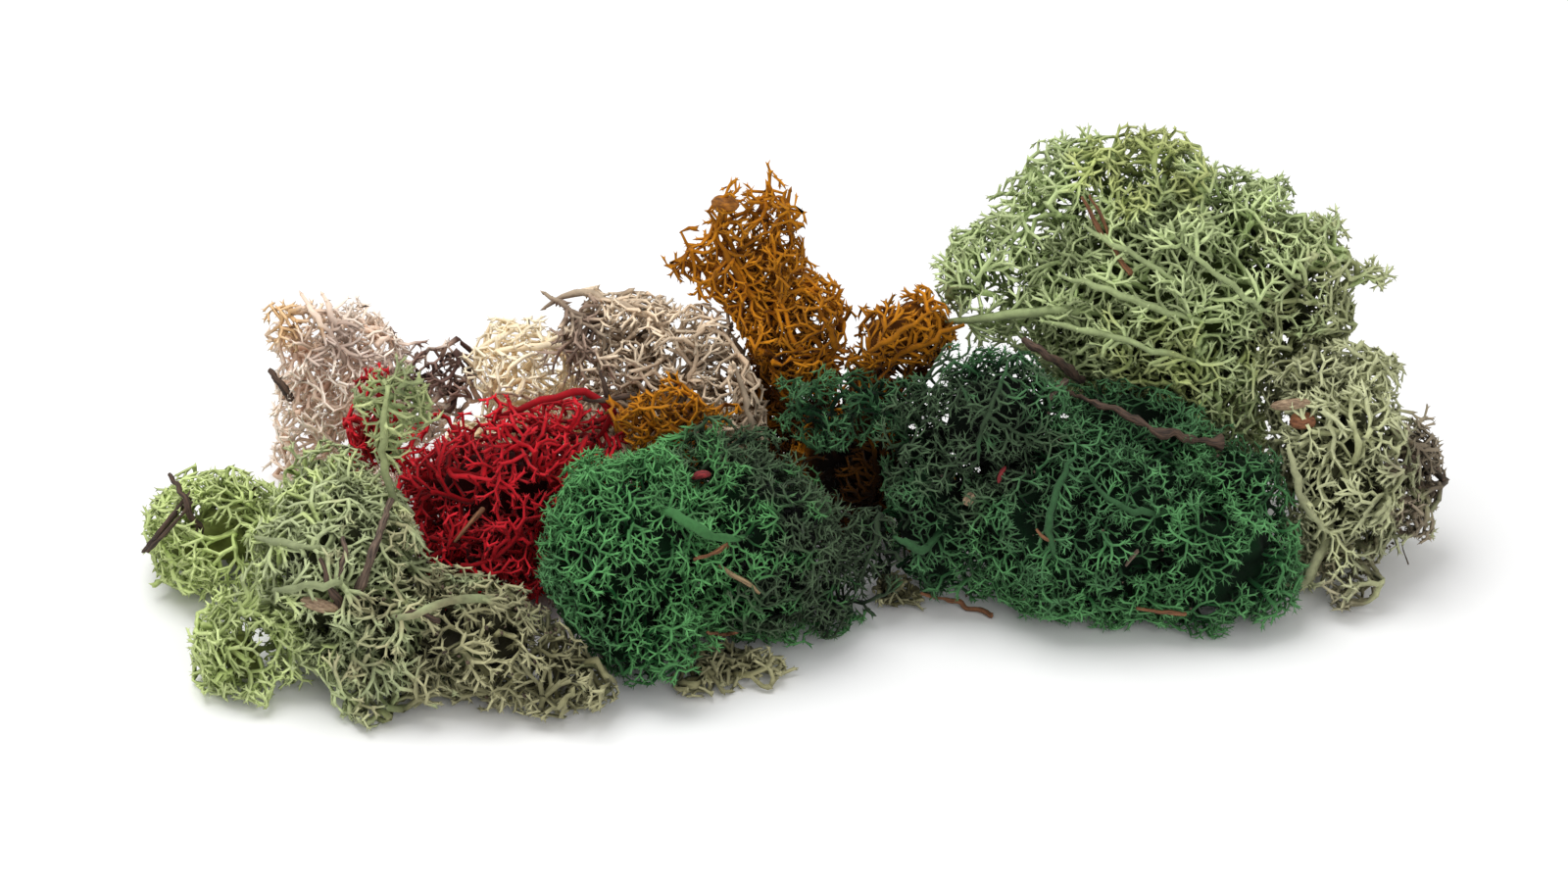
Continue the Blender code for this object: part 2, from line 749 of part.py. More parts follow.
def keep_largest_body(obj):
    """Keeps the largest closed surface. It drops loose scraps, such as a point that a hole has cut
    off, and pockets sealed in where leaning points meet."""
    bm = bmesh.new()
    bm.from_mesh(obj.data)
    unseen = set(bm.faces)
    surfaces = []
    while unseen:
        surface, front = [], [unseen.pop()]
        while front:
            face = front.pop()
            surface.append(face)
            inner_edges = [edge for edge in face.edges if len(edge.link_faces) == 2]
            linked = {other for edge in inner_edges for other in edge.link_faces} & unseen
            unseen -= linked
            front.extend(linked)
        surfaces.append(surface)
    surfaces.sort(key=len)
    scraps = [face for surface in surfaces[:-1] for face in surface]
    bmesh.ops.delete(bm, geom=scraps, context="FACES")
    bm.to_mesh(obj.data)
    bm.free()


def empty_collection(name):
    """A new collection of the scene."""
    collection = bpy.data.collections.new(name)
    bpy.context.scene.collection.children.link(collection)
    return collection


def discard(collection):
    """Removes a collection with its objects."""
    for obj in list(collection.objects):
        bpy.data.objects.remove(obj, do_unlink=True)
    bpy.data.collections.remove(collection)


def build_tuft(tuft, parts, ground, holes):
    """Joins a tuft's heart, cords, stems and branches in one solid, flat where it meets the
    ground and with a hole for every twig that it holds."""
    pieces = empty_collection(f"{tuft.name} pieces")

    def place(name, bm):
        return as_object(bm, name, pieces)

    heart = heart_mesh(tuft)
    cover_heart(tuft, heart, place)
    for start, end in limbs(tuft):
        add_tube((start, end), (CORD_RADIUS, CORD_RADIUS), STEM_SIDES, place)
    for stem in tuft.stems:
        steps = len(stem.path) - 1
        shares = [STEM_TIP + (1.0 - STEM_TIP) * index / steps for index in range(steps + 1)]
        radii = [stem.thickness / 2 * share for share in shares]
        add_tube(stem.path, radii, STEM_SIDES, place)

    trunk = place(tuft.name, heart)
    pieces.objects.unlink(trunk)
    parts.objects.link(trunk)
    add_boolean(trunk, "UNION", pieces)
    apply_modifiers(trunk)
    for cutters in (ground, holes):
        add_boolean(trunk, "DIFFERENCE", cutters)
        apply_modifiers(trunk)
    keep_largest_body(trunk)
    discard(pieces)
    trunk.data.materials.clear()
    trunk.data.materials.append(make_material(tuft.name, tuft.colour, TUFT_ROUGHNESS))


def twig_curve(twig, name, extra, collection):
    """A twig as a bevelled curve, thickest at the end that is sunk in the moss."""
    curve = bpy.data.curves.new(name, "CURVE")
    curve.dimensions = "3D"
    curve.bevel_depth = (twig.thickness / 2 + extra) * MM
    curve.bevel_resolution = 1
    curve.use_fill_caps = True
    spline = curve.splines.new("POLY")
    spline.points.add(len(twig.path) - 1)
    for index, (point, corner) in enumerate(zip(spline.points, twig.path)):
        point.co = (*(Vector(corner) * MM), 1.0)
        point.radius = 1.0 if extra else TWIG_TIP + (1.0 - TWIG_TIP) * index / (len(twig.path) - 1)
    obj = bpy.data.objects.new(name, curve)
    collection.objects.link(obj)
    return obj


def build_twig(twig, parts, holes):
    """The twig itself, and the cutter that makes its hole."""
    obj = twig_curve(twig, twig.name, 0.0, parts)
    obj.data.materials.append(make_material(twig.name, twig.colour, TWIG_ROUGHNESS))
    wide = twig_curve(twig, f"{twig.name} hole", HOLE_GAP, holes)
    bpy.context.view_layer.update()
    graph = bpy.context.evaluated_depsgraph_get()
    mesh = bpy.data.meshes.new_from_object(wide.evaluated_get(graph))
    bm = bmesh.new()
    bm.from_mesh(mesh)
    bmesh.ops.remove_doubles(bm, verts=bm.verts[:], dist=1e-6)
    bmesh.ops.recalc_face_normals(bm, faces=bm.faces[:])
    bm.to_mesh(mesh)
    bm.free()
    cutter = new_object(f"{twig.name} cutter", mesh, holes)
    cutter.hide_render = True
    cutter.display_type = "WIRE"
    bpy.data.objects.remove(wide, do_unlink=True)


def build_ground(collection):
    """A slab under z = 0 that cuts each tuft's flat resting spot."""
    bpy.ops.mesh.primitive_cube_add(size=1.0)
    slab = bpy.context.active_object
    slab.name = "ground cutter"
    slab.data.transform(Matrix.Diagonal((*SLAB_SIZE, 1.0)))
    slab.data.transform(Matrix.Translation((0.0, 0.0, -SLAB_SIZE[2] / 2)))
    for holder in list(slab.users_collection):
        holder.objects.unlink(slab)
    collection.objects.link(slab)
    slab.hide_render = True
    slab.display_type = "WIRE"


def centre_on_origin(parts):
    """Moves the whole clump so that its box stands centred on the origin."""
    bpy.context.view_layer.update()
    corners = np.array([obj.matrix_world @ Vector(c) for obj in parts.objects for c in obj.bound_box])
    middle = (corners.min(axis=0) + corners.max(axis=0)) / 2
    root = bpy.data.objects.new("moss_clump", None)
    bpy.context.scene.collection.objects.link(root)
    for obj in parts.objects:
        obj.parent = root
    root.location = (-middle[0], -middle[1], 0.0)


def main():
    """Builds every tuft and twig."""
    clear_scene()
    parts = empty_collection("reindeer moss clump")
    ground = empty_collection("ground cutters")
    holes = empty_collection("twig holes")
    build_ground(ground)
    for twig in TWIGS:
        build_twig(twig, parts, holes)
    for tuft in TUFTS:
        build_tuft(tuft, parts, ground, holes)
    centre_on_origin(parts)


if __name__ == "__main__":
    main()
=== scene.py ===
"""The looks of the reindeer moss clump: dyed tufts of forked lichen, dry twigs, needles and crumbs.

Each tuft is one piece. Limbs grow in rounds: every limb ends in a small triangle, which splits in
three buds, and each bud that finds room is drawn out to the next, thinner limb or to a point. The
limbs keep inside the tuft's lobes and out of its neighbours', so the tuft has the outline of the
solid that it stands for.

All sizes are millimetres unless a name says otherwise, with +Z up and the clump's front towards -Y.
"""

import logging
import math
from dataclasses import dataclass, field
from enum import Enum

import bpy
import numpy as np
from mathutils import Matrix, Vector


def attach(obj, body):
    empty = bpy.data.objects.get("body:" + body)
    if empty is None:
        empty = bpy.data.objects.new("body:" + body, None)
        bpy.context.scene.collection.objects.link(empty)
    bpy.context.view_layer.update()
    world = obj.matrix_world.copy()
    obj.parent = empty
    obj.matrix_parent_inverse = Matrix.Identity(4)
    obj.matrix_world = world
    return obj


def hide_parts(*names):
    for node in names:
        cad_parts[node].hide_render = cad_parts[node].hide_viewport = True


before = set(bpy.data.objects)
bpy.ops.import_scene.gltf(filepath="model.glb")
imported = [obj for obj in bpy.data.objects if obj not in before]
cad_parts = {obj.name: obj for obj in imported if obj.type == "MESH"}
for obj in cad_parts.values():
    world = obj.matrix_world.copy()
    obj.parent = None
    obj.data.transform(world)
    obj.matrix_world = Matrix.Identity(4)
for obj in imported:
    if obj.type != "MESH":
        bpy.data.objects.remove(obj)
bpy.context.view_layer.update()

MM = 0.001
IMAGE_SIZE = (1600, 901)
CENTRING = np.array((-4.02, -4.783, 0.0))
LOG = logging.getLogger("moss")
NO_LENGTH = 1e-9
UPRIGHT = 0.8
POLE = 0.6
BROAD_SHARE = 0.16
BROAD_DETAIL = 2.0

Colour = tuple[float, float, float]
Point = tuple[float, float, float]


def unit(vectors: np.ndarray) -> np.ndarray:
    """Scales vectors to length one.

    Args:
        vectors: an array whose last axis holds the components.

    Returns:
        The vectors, each divided by its length.
    """
    return vectors / np.maximum(np.linalg.norm(vectors, axis=-1, keepdims=True), NO_LENGTH)


def square_to(vectors: np.ndarray, normals: np.ndarray) -> np.ndarray:
    """Turns vectors square to unit normals: each loses its part along its normal, which is the
    normal times the product of both, and is scaled to length one.

    Args:
        vectors: the vectors.
        normals: the unit normals.

    Returns:
        The unit vectors.
    """
    return unit(vectors - normals * (vectors * normals).sum(axis=-1, keepdims=True))


def across(directions: np.ndarray) -> np.ndarray:
    """A unit vector square to each direction: its cross product with +Z, or with +X where the
    direction is nearly upright.

    Args:
        directions: unit vectors, (n, 3).

    Returns:
        The unit vectors, (n, 3).
    """
    level = np.abs(directions[:, 2:]) < UPRIGHT
    return unit(np.cross(directions, np.where(level, [[0.0, 0.0, 1.0]], [[1.0, 0.0, 0.0]])))


def triangles(axes: np.ndarray, spokes: np.ndarray) -> np.ndarray:
    """The corners of even triangles of radius one round the origin: the third lies on the spoke,
    and the others half a spoke back and the root of three quarters to each side.

    Args:
        axes: the unit vectors that the triangles face, (n, 3).
        spokes: unit vectors square to them, (n, 3).

    Returns:
        The corners, (n, 3, 3).
    """
    aside = np.cross(axes, spokes) * math.sqrt(0.75)
    return np.stack([aside - spokes / 2, -aside - spokes / 2, spokes], axis=1)


def smooth_path(points: np.ndarray, count: int) -> np.ndarray:
    """Rounds a path: a Catmull-Rom curve through its points, read at even steps.

    Args:
        points: the points that the curve passes through, (n, 3).
        count: how many points to return.

    Returns:
        The curve's points, (count, 3).
    """
    padded = np.vstack([2 * points[0] - points[1], points, 2 * points[-1] - points[-2]])
    place = np.linspace(0, len(points) - 1, count)
    start = np.minimum(place.astype(int), len(points) - 2)
    t = (place - start)[:, None]
    p0, p1, p2, p3 = (padded[start + k] for k in range(4))
    bend = 2 * p0 - 5 * p1 + 4 * p2 - p3
    turn = 3 * p1 - p0 - 3 * p2 + p3
    return 0.5 * (2 * p1 + (p2 - p0) * t + bend * t**2 + turn * t**3)


class Waves:
    """A smooth random field: the sum of sine waves that run in seeded directions."""

    COUNT = 22
    LENGTHS = (0.65, 1.7)

    def __init__(self, size: float, seed: int) -> None:
        """Draws the waves.

        Args:
            size: the typical wavelength.
            seed: the seed of the draw.
        """
        dice = np.random.default_rng(seed)
        directions = unit(dice.normal(size=(self.COUNT, 3)))
        lengths = size * dice.uniform(*self.LENGTHS, self.COUNT)
        self.vectors = directions * (2 * math.pi / lengths)[:, None]
        self.phases = dice.uniform(0, 2 * math.pi, self.COUNT)

    def at(self, points: np.ndarray) -> np.ndarray:
        """The field's value at each point, mostly between -1 and 1.

        Args:
            points: the places, (n, 3).

        Returns:
            One value for each point.
        """
        waves = np.sin(points @ self.vectors.T + self.phases)
        return waves.sum(axis=1) / math.sqrt(self.COUNT)


class Envelope:
    """The outline of a tuft: the union of its lobes, which are ellipsoids."""

    SOFTNESS = 1.8

    def __init__(self, lobes: np.ndarray) -> None:
        """Takes the lobes.

        Args:
            lobes: rows of centre and radii, (n, 6).
        """
        self.centres = lobes[:, :3] + CENTRING
        self.radii = lobes[:, 3:]
        self.thin = self.radii.min(axis=1)

    def reach(self, points: np.ndarray) -> np.ndarray:
        """How far each point lies outside the lobes. For one lobe it is the scaled distance from
        its centre less one, times its smallest radius, and is negative inside. The lobes' values
        are joined by a soft least, which fills the creases between them.

        Args:
            points: the places, (n, 3).

        Returns:
            One distance for each point.
        """
        scaled = np.linalg.norm((points[:, None] - self.centres) / self.radii, axis=2)
        return self.join((scaled - 1.0) * self.thin)

    def join(self, reaches: np.ndarray) -> np.ndarray:
        """The soft least of the lobes' values.

        Args:
            reaches: the values, (n, lobes).

        Returns:
            One value for each point.
        """
        least = reaches.min(axis=1)
        near = np.exp((least[:, None] - reaches) / self.SOFTNESS).sum(axis=1)
        return least - self.SOFTNESS * np.log(near)

    def outward(self, points: np.ndarray) -> tuple[np.ndarray, np.ndarray, np.ndarray]:
        """The reach of each point, the way out of its nearest lobe and how thick that lobe is.

        Args:
            points: the places, (n, 3).

        Returns:
            The reach, the unit vectors that point outwards, and the nearest lobe's least radius.
        """
        offsets = points[:, None] - self.centres
        scaled = np.linalg.norm(offsets / self.radii, axis=2)
        reaches = (scaled - 1.0) * self.thin
        nearest = reaches.argmin(axis=1)
        rows = np.arange(len(points))
        slope = offsets[rows, nearest] / self.radii[nearest] ** 2
        return self.join(reaches), unit(slope), self.thin[nearest]

    def box(self, margin: float) -> tuple[np.ndarray, np.ndarray]:
        """The lobes' box.

        Args:
            margin: how much is added all round.

        Returns:
            Its lowest and highest corner.
        """
        low = (self.centres - self.radii).min(axis=0) - margin
        high = (self.centres + self.radii).max(axis=0) + margin
        return low, high


@dataclass
class Territory:
    """The room that one tuft has: its own outline, where no neighbour's outline is nearer."""

    own: Envelope
    neighbours: list[Envelope]
    gap: float
    billow: Waves
    billow_height: float
    clearance: float = 0.45

    BULGE = 1.9
    SINK = 1.15

    def outline(self, points: np.ndarray) -> np.ndarray:
        """How far out limbs may go near each point: rounded heads with creases between them, as
        the height of the absolute value of a smooth random field.

        Args:
            points: the places, (n, 3).

        Returns:
            The reach that a limb's end may have there.
        """
        return self.billow_height * (self.BULGE * np.abs(self.billow.at(points)) - self.SINK)

    def free(self, points: np.ndarray) -> np.ndarray:
        """Whether each point is this tuft's and stands clear of the ground.

        Args:
            points: the places, (n, 3).

        Returns:
            One truth value for each point.
        """
        mine = self.own.reach(points) + self.gap
        free = points[:, 2] > self.clearance
        for neighbour in self.neighbours:
            free &= mine < neighbour.reach(points)
        return free


class Shell:
    """The points and triangles of a piece while it is being made."""

    def __init__(self) -> None:
        """Starts empty."""
        self.count = 0
        self.points: list[np.ndarray] = []
        self.faces: list[np.ndarray] = []
        self.marks: list[np.ndarray] = []

    def add_points(self, points: np.ndarray, growth: np.ndarray, variety: np.ndarray) -> np.ndarray:
        """Adds points.

        Args:
            points: the places, (n, 3).
            growth: 0 at a tuft's root to 1 at its tips, one for each point.
            variety: the random shade of the limb that the point is on; on the cores a lower value, painted
                shade.

        Returns:
            The new points' numbers.
        """
        numbers = np.arange(self.count, self.count + len(points))
        self.count += len(points)
        self.points.append(points)
        self.marks.append(np.stack([growth, variety], axis=1))
        return numbers

    def add_faces(self, faces: np.ndarray) -> None:
        """Adds triangles, given by their points' numbers, (n, 3)."""
        self.faces.append(faces.reshape(-1, 3))

    def add_quads(self, quads: np.ndarray) -> None:
        """Adds four-sided faces as two triangles each.

        Args:
            quads: their points' numbers, (n, 4).
        """
        quads = quads.reshape(-1, 4)
        self.add_faces(quads[:, [0, 1, 2]])
        self.add_faces(quads[:, [0, 2, 3]])

    def add_fans(self, first: np.ndarray, second: np.ndarray, hubs: np.ndarray) -> None:
        """Adds triangles from edges to a point that they share.

        Args:
            first: the first point of every edge, a row for each hub, (n, m).
            second: the second point of every edge, (n, m).
            hubs: the shared points, (n,).
        """
        hub = np.repeat(hubs[:, None], first.shape[1], axis=1)
        self.add_faces(np.stack([first, second, hub], axis=-1))

    def to_object(self, name: str, attributes: dict[str, np.ndarray]) -> bpy.types.Object:
        """Makes the mesh and its object, in metres.

        Args:
            name: the object's name.
            attributes: more values for each point, by name.

        Returns:
            The new object.
        """
        points = np.vstack(self.points)
        faces = np.vstack(self.faces)
        marks = np.vstack(self.marks)
        mesh = bpy.data.meshes.new(name)
        mesh.vertices.add(len(points))
        mesh.vertices.foreach_set("co", (points * MM).astype(np.float32).ravel())
        mesh.loops.add(faces.size)
        mesh.loops.foreach_set("vertex_index", faces.astype(np.int32).ravel())
        mesh.polygons.add(len(faces))
        mesh.polygons.foreach_set("loop_start", np.arange(0, faces.size, 3, dtype=np.int32))
        values = {"growth": marks[:, 0], "variety": marks[:, 1], **attributes}
        for label, value in values.items():
            attribute = mesh.attributes.new(label, "FLOAT", "POINT")
            attribute.data.foreach_set("value", value.astype(np.float32))
        mesh.update(calc_edges=True)
        mesh.validate()
        mesh.shade_smooth()
        obj = bpy.data.objects.new(name, mesh)
        bpy.context.scene.collection.objects.link(obj)
        return obj


def dress(piece: bpy.types.Object, material: bpy.types.Material, node: str) -> bpy.types.Object:
    """Gives a piece its material and its place in the frame.

    Args:
        piece: the piece.
        material: its material.
        node: the CAD node that it replaces, or nothing.

    Returns:
        The piece.
    """
    piece.data.materials.append(material)
    if node:
        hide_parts(node)
    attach(piece, "root")
    return piece


def sweep(shell: Shell, paths: np.ndarray, radii: np.ndarray, sides: int, growth: np.ndarray) -> None:
    """Carries a round profile along several paths at once and closes both ends with a pole. The
    profile's frame is turned from ring to ring by the least turn that follows the path.

    Args:
        shell: takes the points and faces.
        paths: the paths, (n, m, 3).
        radii: the profile's radius at every point of the paths, (n, m, 1) or (n, m, sides).
        sides: how many sides the profile has.
        growth: the growth value at every point of the paths, (n, m).
    """
    count, rings = paths.shape[:2]
    tangents = unit(np.gradient(paths, axis=1))
    side = across(tangents[:, 0])
    sides_at = []
    for ring in range(rings):
        side = square_to(side, tangents[:, ring])
        sides_at.append(side)
    side = np.stack(sides_at, axis=1)
    other = np.cross(tangents, side)
    angles = np.linspace(0, 2 * math.pi, sides, endpoint=False)[:, None]
    spokes = side[:, :, None] * np.cos(angles) + other[:, :, None] * np.sin(angles)
    radii = np.broadcast_to(radii, (count, rings, sides))
    points = paths[:, :, None] + spokes * radii[..., None]
    variety = np.repeat(np.linspace(0, 1, count + 1)[:count], rings * sides)
    shades = np.repeat(growth.reshape(-1), sides)
    grid = shell.add_points(points.reshape(-1, 3), shades, variety).reshape(count, rings, sides)
    ahead = np.roll(grid, -1, axis=2)
    shell.add_quads(np.stack([grid[:, :-1], ahead[:, :-1], ahead[:, 1:], grid[:, 1:]], axis=-1))
    for ring, outward, first, second in ((0, -POLE, ahead, grid), (-1, POLE, grid, ahead)):
        poles = paths[:, ring] + tangents[:, ring] * radii[:, ring].mean(axis=1, keepdims=True) * outward
        numbers = shell.add_points(poles, growth[:, ring], variety[:: rings * sides][:count])
        shell.add_fans(first[:, ring], second[:, ring], numbers)


@dataclass(frozen=True)
class Fork:
    """One round of growth: its limbs' length and radius, how far they part, what share of the buds
    grows, how far apart the limbs' ends stay, and how strongly they turn outwards."""

    length: float
    radius: float
    tilt: float
    share: float
    spacing: float
    pull: float


class Habit(Enum):
    """The ways in which tufts grow."""

    DENSE = (
        Fork(5.0, 0.95, 30, 0.95, 3.4, 0.30),
        Fork(4.2, 0.78, 36, 0.85, 2.9, 0.25),
        Fork(3.4, 0.62, 40, 0.85, 2.5, 0.20),
        Fork(2.9, 0.50, 42, 0.85, 2.1, 0.15),
        Fork(2.4, 0.41, 44, 0.85, 1.75, 0.12),
        Fork(1.8, 0.33, 46, 0.85, 1.45, 0.10),
    )
    FINE = (
        Fork(4.6, 0.70, 30, 0.95, 3.1, 0.30),
        Fork(3.8, 0.54, 36, 0.85, 2.6, 0.25),
        Fork(2.9, 0.42, 40, 0.85, 2.1, 0.20),
        Fork(2.3, 0.33, 42, 0.85, 1.7, 0.15),
        Fork(1.8, 0.27, 44, 0.85, 1.42, 0.12),
        Fork(1.3, 0.22, 46, 0.85, 1.18, 0.10),
    )
    OPEN = (
        Fork(5.2, 0.90, 32, 0.95, 3.8, 0.25),
        Fork(4.4, 0.74, 38, 0.80, 3.3, 0.20),
        Fork(3.6, 0.60, 42, 0.80, 2.9, 0.15),
        Fork(3.0, 0.49, 44, 0.80, 2.5, 0.12),
        Fork(2.5, 0.41, 46, 0.80, 2.2, 0.10),
        Fork(2.0, 0.34, 48, 0.80, 1.9, 0.10),
    )


@dataclass
class Buds:
    """Open end triangles: their corners (n, 3, 3), the corners' numbers (n, 3), the ways that they
    face (n, 3) and their limbs' shades (n,)."""

    corners: np.ndarray
    numbers: np.ndarray
    axes: np.ndarray
    variety: np.ndarray

    @property
    def middles(self) -> np.ndarray:
        """The triangles' middles, (n, 3)."""
        return self.corners.mean(axis=1)

    def only(self, which: np.ndarray) -> "Buds":
        """The buds that are marked true."""
        return Buds(self.corners[which], self.numbers[which], self.axes[which], self.variety[which])


@dataclass
class Growth:
    """Grows forked limbs inside a territory."""

    shell: Shell
    territory: Territory
    habit: tuple[Fork, ...]
    dice: np.random.Generator
    thin_out_below: float = math.inf
    taken: list[np.ndarray] = field(default_factory=list)

    GRID = 8192
    TIP_LENGTH = (0.7, 1.5)
    TIP_SPREAD = (0.5, 1.1)
    LENGTHS = (0.65, 1.3)
    TILTS = (0.6, 1.3)
    WANDER = 0.12
    SHADE_STEP = 0.06
    FLARE = 1.12
    NECK = 0.92
    RISE = 0.55
    SPIKES_FROM = 2
    BENT_ROUNDS = 3
    BEND = 0.13
    THINNED_ROUNDS = 3
    THINNED_SHARE = 0.25
    RAGGED = 1.3
    TURN_IN = 1.15
    SHORTENED = 0.85
    OVERSHOOT = 0.9
    NEAR_GROUND = 0.3
    GROUND_SLOPE = 0.35

    def cells(self, points: np.ndarray, spacing: float) -> np.ndarray:
        """Numbers the grid cells that points lie in, so that two in one cell can be told."""
        grid = np.floor(points / spacing).astype(np.int64) + self.GRID // 2
        return (grid[:, 0] * self.GRID + grid[:, 1]) * self.GRID + grid[:, 2]

    def uncrowded(self, points: np.ndarray, spacing: float) -> np.ndarray:
        """Keeps at most one point in each grid cell, and none where a limb ends already.

        Args:
            points: the ends that limbs would have, (n, 3).
            spacing: the cells' size.

        Returns:
            Whether each point is kept.
        """
        keys = self.cells(points, spacing)
        order = self.dice.permutation(len(keys))
        _, first = np.unique(keys[order], return_index=True)
        keep = np.zeros(len(keys), bool)
        keep[order[first]] = True
        if self.taken:
            keep &= ~np.isin(keys, self.cells(np.vstack(self.taken), spacing))
        return keep

    def split(self, buds: Buds, growth: float) -> tuple[Buds, np.ndarray]:
        """Splits each end triangle in three buds about a raised middle point.

        Args:
            buds: the n triangles.
            growth: the growth value of the middle points.

        Returns:
            The 3n buds, and the way in which each lies from the limb's middle, (3n, 3).
        """
        centre, axes = buds.middles, buds.axes
        width = np.linalg.norm(buds.corners[:, 0] - centre, axis=1, keepdims=True)
        apex = centre + axes * width * self.RISE
        raised = self.shell.add_points(apex, np.full(len(apex), growth), buds.variety)
        after = np.roll(buds.corners, -1, axis=1)
        corners = np.stack([buds.corners, after, np.repeat(apex[:, None], 3, axis=1)], axis=2)
        ahead = np.roll(buds.numbers, -1, axis=1)
        numbers = np.stack([buds.numbers, ahead, np.repeat(raised[:, None], 3, axis=1)], axis=2)
        aside = square_to(corners.mean(axis=2) - centre[:, None], axes[:, None])
        axes, variety = np.repeat(axes, 3, axis=0), np.repeat(buds.variety, 3)
        return Buds(corners.reshape(-1, 3, 3), numbers.reshape(-1, 3), axes, variety), aside.reshape(-1, 3)

    def draw(self, buds: Buds, ends: np.ndarray, radius: float, growth: float) -> Buds:
        """Draws triangles out to even triangles round new ends, with sides between.

        Args:
            buds: the triangles, which face the way that they are drawn.
            ends: the new middles, (n, 3).
            radius: the new triangles' radius.
            growth: the growth value of the new points.

        Returns:
            The new triangles.
        """
        spokes = square_to(buds.corners[:, 2] - buds.middles, buds.axes)
        ring = ends[:, None] + triangles(buds.axes, spokes) * radius
        shades = np.repeat(buds.variety, 3)
        fresh = self.shell.add_points(ring.reshape(-1, 3), np.full(len(shades), growth), shades)
        fresh = fresh.reshape(-1, 3)
        ahead, fresh_ahead = np.roll(buds.numbers, -1, axis=1), np.roll(fresh, -1, axis=1)
        self.shell.add_quads(np.stack([buds.numbers, ahead, fresh_ahead, fresh], axis=-1))
        return Buds(ring, fresh, buds.axes, buds.variety)

    def point(self, buds: Buds) -> None:
        """Draws triangles out to sharp tips.

        Args:
            buds: the triangles.
        """
        lengths = self.dice.uniform(*self.TIP_LENGTH, len(buds.axes))[:, None]
        tips = buds.middles + buds.axes * lengths
        low = tips[:, 2] < self.territory.clearance
        tips[low, 2] = self.territory.clearance
        fresh = self.shell.add_points(tips, np.ones(len(tips)), buds.variety)
        self.shell.add_fans(buds.numbers, np.roll(buds.numbers, -1, axis=1), fresh)

    def close(self, buds: Buds, index: int) -> None:
        """Closes the buds that grow no further: to a sharp tip where there is room, else flat.

        Args:
            buds: the buds.
            index: the round of growth.
        """
        tips = buds.middles + buds.axes * self.TIP_LENGTH[1]
        shallow = self.territory.own.reach(tips) > -self.thin_out_below
        sharp = shallow & self.territory.free(tips) & (index >= self.SPIKES_FROM)
        self.point(buds.only(sharp))
        self.shell.add_faces(buds.numbers[~sharp])

    def steer(
        self, buds: Buds, lengths: np.ndarray
    ) -> tuple[np.ndarray, np.ndarray, np.ndarray, np.ndarray]:
        """Bends limbs that would leave the outline or touch the ground, so that they run along it.
        A limb's shade also says how much further out or in than the outline it may end.

        Args:
            buds: where the limbs start.
            lengths: their lengths, (n,).

        Returns:
            The directions, the ends, whether each end lies in the territory, and its reach.
        """
        own, starts, axes = self.territory.own, buds.middles, buds.axes
        ends = starts + axes * lengths[:, None]
        reach, outward, _ = own.outward(ends)
        limit = self.territory.outline(ends) + self.RAGGED * (2 * buds.variety - 1)
        over = reach > limit
        lean = np.maximum((axes * outward).sum(axis=1), 0.0)
        axes = np.where(over[:, None], unit(axes - outward * (self.TURN_IN * lean)[:, None]), axes)
        low = (starts + axes * lengths[:, None])[:, 2] < self.territory.clearance + self.NEAR_GROUND
        axes[low, 2] = self.GROUND_SLOPE * np.abs(axes[low, 2])
        axes = unit(axes)
        ends = starts + axes * np.where(over, self.SHORTENED * lengths, lengths)[:, None]
        reach = own.reach(ends)
        return axes, ends, (reach < limit + self.OVERSHOOT) & self.territory.free(ends), reach

    def grow(self, starts: np.ndarray, directions: np.ndarray, first: int) -> None:
        """Grows a forked limb from each start.

        Args:
            starts: where they start, (n, 3).
            directions: the ways that they start in, (n, 3).
            first: the round of growth that they start with.
        """
        fork = self.habit[first]
        rounds = len(self.habit)
        variety = self.dice.uniform(0, 1, len(starts))
        corners = starts[:, None] + triangles(directions, across(directions)) * fork.radius
        base = np.full(len(starts), first / rounds)
        poles = self.shell.add_points(starts - directions * fork.radius, base, variety)
        numbers = self.shell.add_points(corners.reshape(-1, 3), np.repeat(base, 3), np.repeat(variety, 3))
        numbers = numbers.reshape(-1, 3)
        self.shell.add_fans(np.roll(numbers, -1, axis=1), numbers, poles)
        buds = Buds(corners, numbers, directions, variety)
        for index in range(first, rounds):
            fork = self.habit[index]
            growth = (index + 1) / rounds
            wanted = np.ones(len(buds.axes), bool)
            if index > first:
                buds, wanted = self.fork_out(buds, fork, growth)
            lengths = fork.length * self.dice.uniform(*self.LENGTHS, len(buds.axes))
            turned, ends, room, reach = self.steer(buds, lengths)
            grows = wanted & room
            if index >= self.THINNED_ROUNDS:
                shown = self.dice.uniform(0, 1, len(ends)) < self.THINNED_SHARE
                grows &= shown | (reach > -self.thin_out_below)
            grows[grows] = self.uncrowded(ends[grows], fork.spacing)
            self.close(buds.only(~grows), index)
            if not grows.any():
                return
            buds, ends = buds.only(grows), ends[grows]
            buds.axes = turned[grows]
            self.taken.append(ends)
            if index < self.BENT_ROUNDS:
                starts = buds.middles
                span = np.linalg.norm(ends - starts, axis=1, keepdims=True)
                middle = (starts + ends) / 2 + self.dice.normal(0, self.BEND, ends.shape) * span
                buds.axes = unit(middle - starts)
                buds = self.draw(buds, middle, fork.radius * self.NECK, growth - 0.5 / rounds)
                buds.axes = unit(ends - middle)
            buds = self.draw(buds, ends, fork.radius * self.FLARE, growth)
        buds, aside = self.split(buds, 1.0)
        buds.axes = unit(buds.axes + aside * self.dice.uniform(*self.TIP_SPREAD, len(aside))[:, None])
        self.close(buds, rounds)

